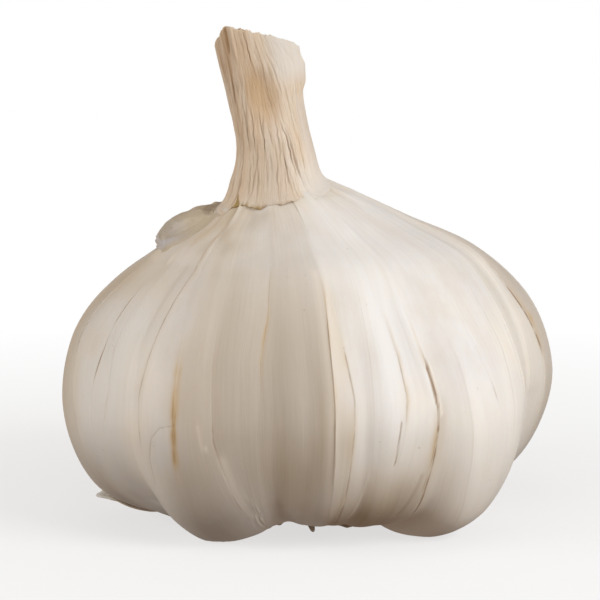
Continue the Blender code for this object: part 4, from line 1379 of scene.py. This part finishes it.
def aimed(name, data, target, azimuth, elevation, distance):
    """A light or camera at this direction and distance from its target, which it points at."""
    thing = bpy.data.objects.new(name, data)
    a, e = math.radians(azimuth), math.radians(elevation)
    toward = Vector((math.cos(a) * math.cos(e), math.sin(a) * math.cos(e), math.sin(e)))
    thing.location = target + toward * distance
    thing.rotation_euler = toward.to_track_quat("Z", "Y").to_euler()
    bpy.context.scene.collection.objects.link(thing)
    return thing


def add_lights():
    for name, azimuth, elevation, distance, size, energy, colour in LIGHTS:
        data = bpy.data.lights.new(name, "AREA")
        data.shape, data.size, data.energy, data.color = "SQUARE", size, energy, colour
        aimed(name, data, LIGHT_AIM, azimuth, elevation, distance)


def add_camera():
    data = bpy.data.cameras.new("camera")
    data.lens, data.sensor_width = CAMERA_LENS, CAMERA_SENSOR
    data.clip_start, data.clip_end = 0.01, 20
    distance = FRAME_WIDTH * CAMERA_LENS / CAMERA_SENSOR
    camera = aimed("camera", data, CAMERA_TARGET, CAMERA_AZIMUTH, CAMERA_ELEVATION, distance)
    bpy.context.scene.camera = camera


def add_floor():
    """A pale floor that turns plain white away from the bulb."""
    corners = [(FLOOR_HALF * x, FLOOR_HALF * y, 0) for x, y in ((-1, -1), (1, -1), (1, 1), (-1, 1))]
    mesh = bpy.data.meshes.new("floor")
    mesh.from_pydata(corners, [], [(0, 1, 2, 3)])
    n = new_material("floor_pale")
    n.finish(Base_Color=FLOOR_GREY, Roughness=0.9, Specular_IOR_Level=0.1)
    away = n.add("VectorMath", {"Vector": n.place()}, operation="LENGTH").outputs["Value"]
    glow = n.add("Emission", {"Color": CLEAN_WHITE, "Strength": 1})
    share = n.span(away, 0.03, 0.14, 0.66, 1)
    blend = n.add("MixShader", {0: share, 1: n.shader.outputs[0], 2: glow.outputs[0]})
    n.put(n.tree.nodes["Material Output"], "Surface", blend.outputs[0])
    mesh.materials.append(n.owner)
    floor = bpy.data.objects.new("floor", mesh)
    floor.location.z = FLOOR_Z
    floor.visible_diffuse = False
    floor.visible_glossy = False
    bpy.context.scene.collection.objects.link(floor)


def add_world():
    """White to the camera, and a dim warm surround that lights the shaded sides."""
    n = Nodes(bpy.data.worlds.new("studio"))
    n.tree.nodes.clear()
    lit = n.add("Background", {"Color": SURROUND, "Strength": SURROUND_STRENGTH})
    seen = n.add("Background", {"Color": CLEAN_WHITE})
    to_camera = n.add("LightPath").outputs["Is Camera Ray"]
    mixed = n.add("MixShader", {0: to_camera, 1: lit.outputs[0], 2: seen.outputs[0]})
    n.add("OutputWorld", {"Surface": mixed.outputs[0]})
    bpy.context.scene.world = n.owner


def main():
    skin, straw, torn, cork = bulb_material(), neck_material(), torn_material(), cork_material()
    make_bulb(skin)
    make_neck(straw)
    make_sheaths(straw)
    make_base_skin(torn)
    make_shoulder_skin(torn)
    make_root_plate(cork)
    add_floor()
    add_world()
    add_lights()
    add_camera()
    bpy.context.scene.view_settings.view_transform = "Standard"


main()
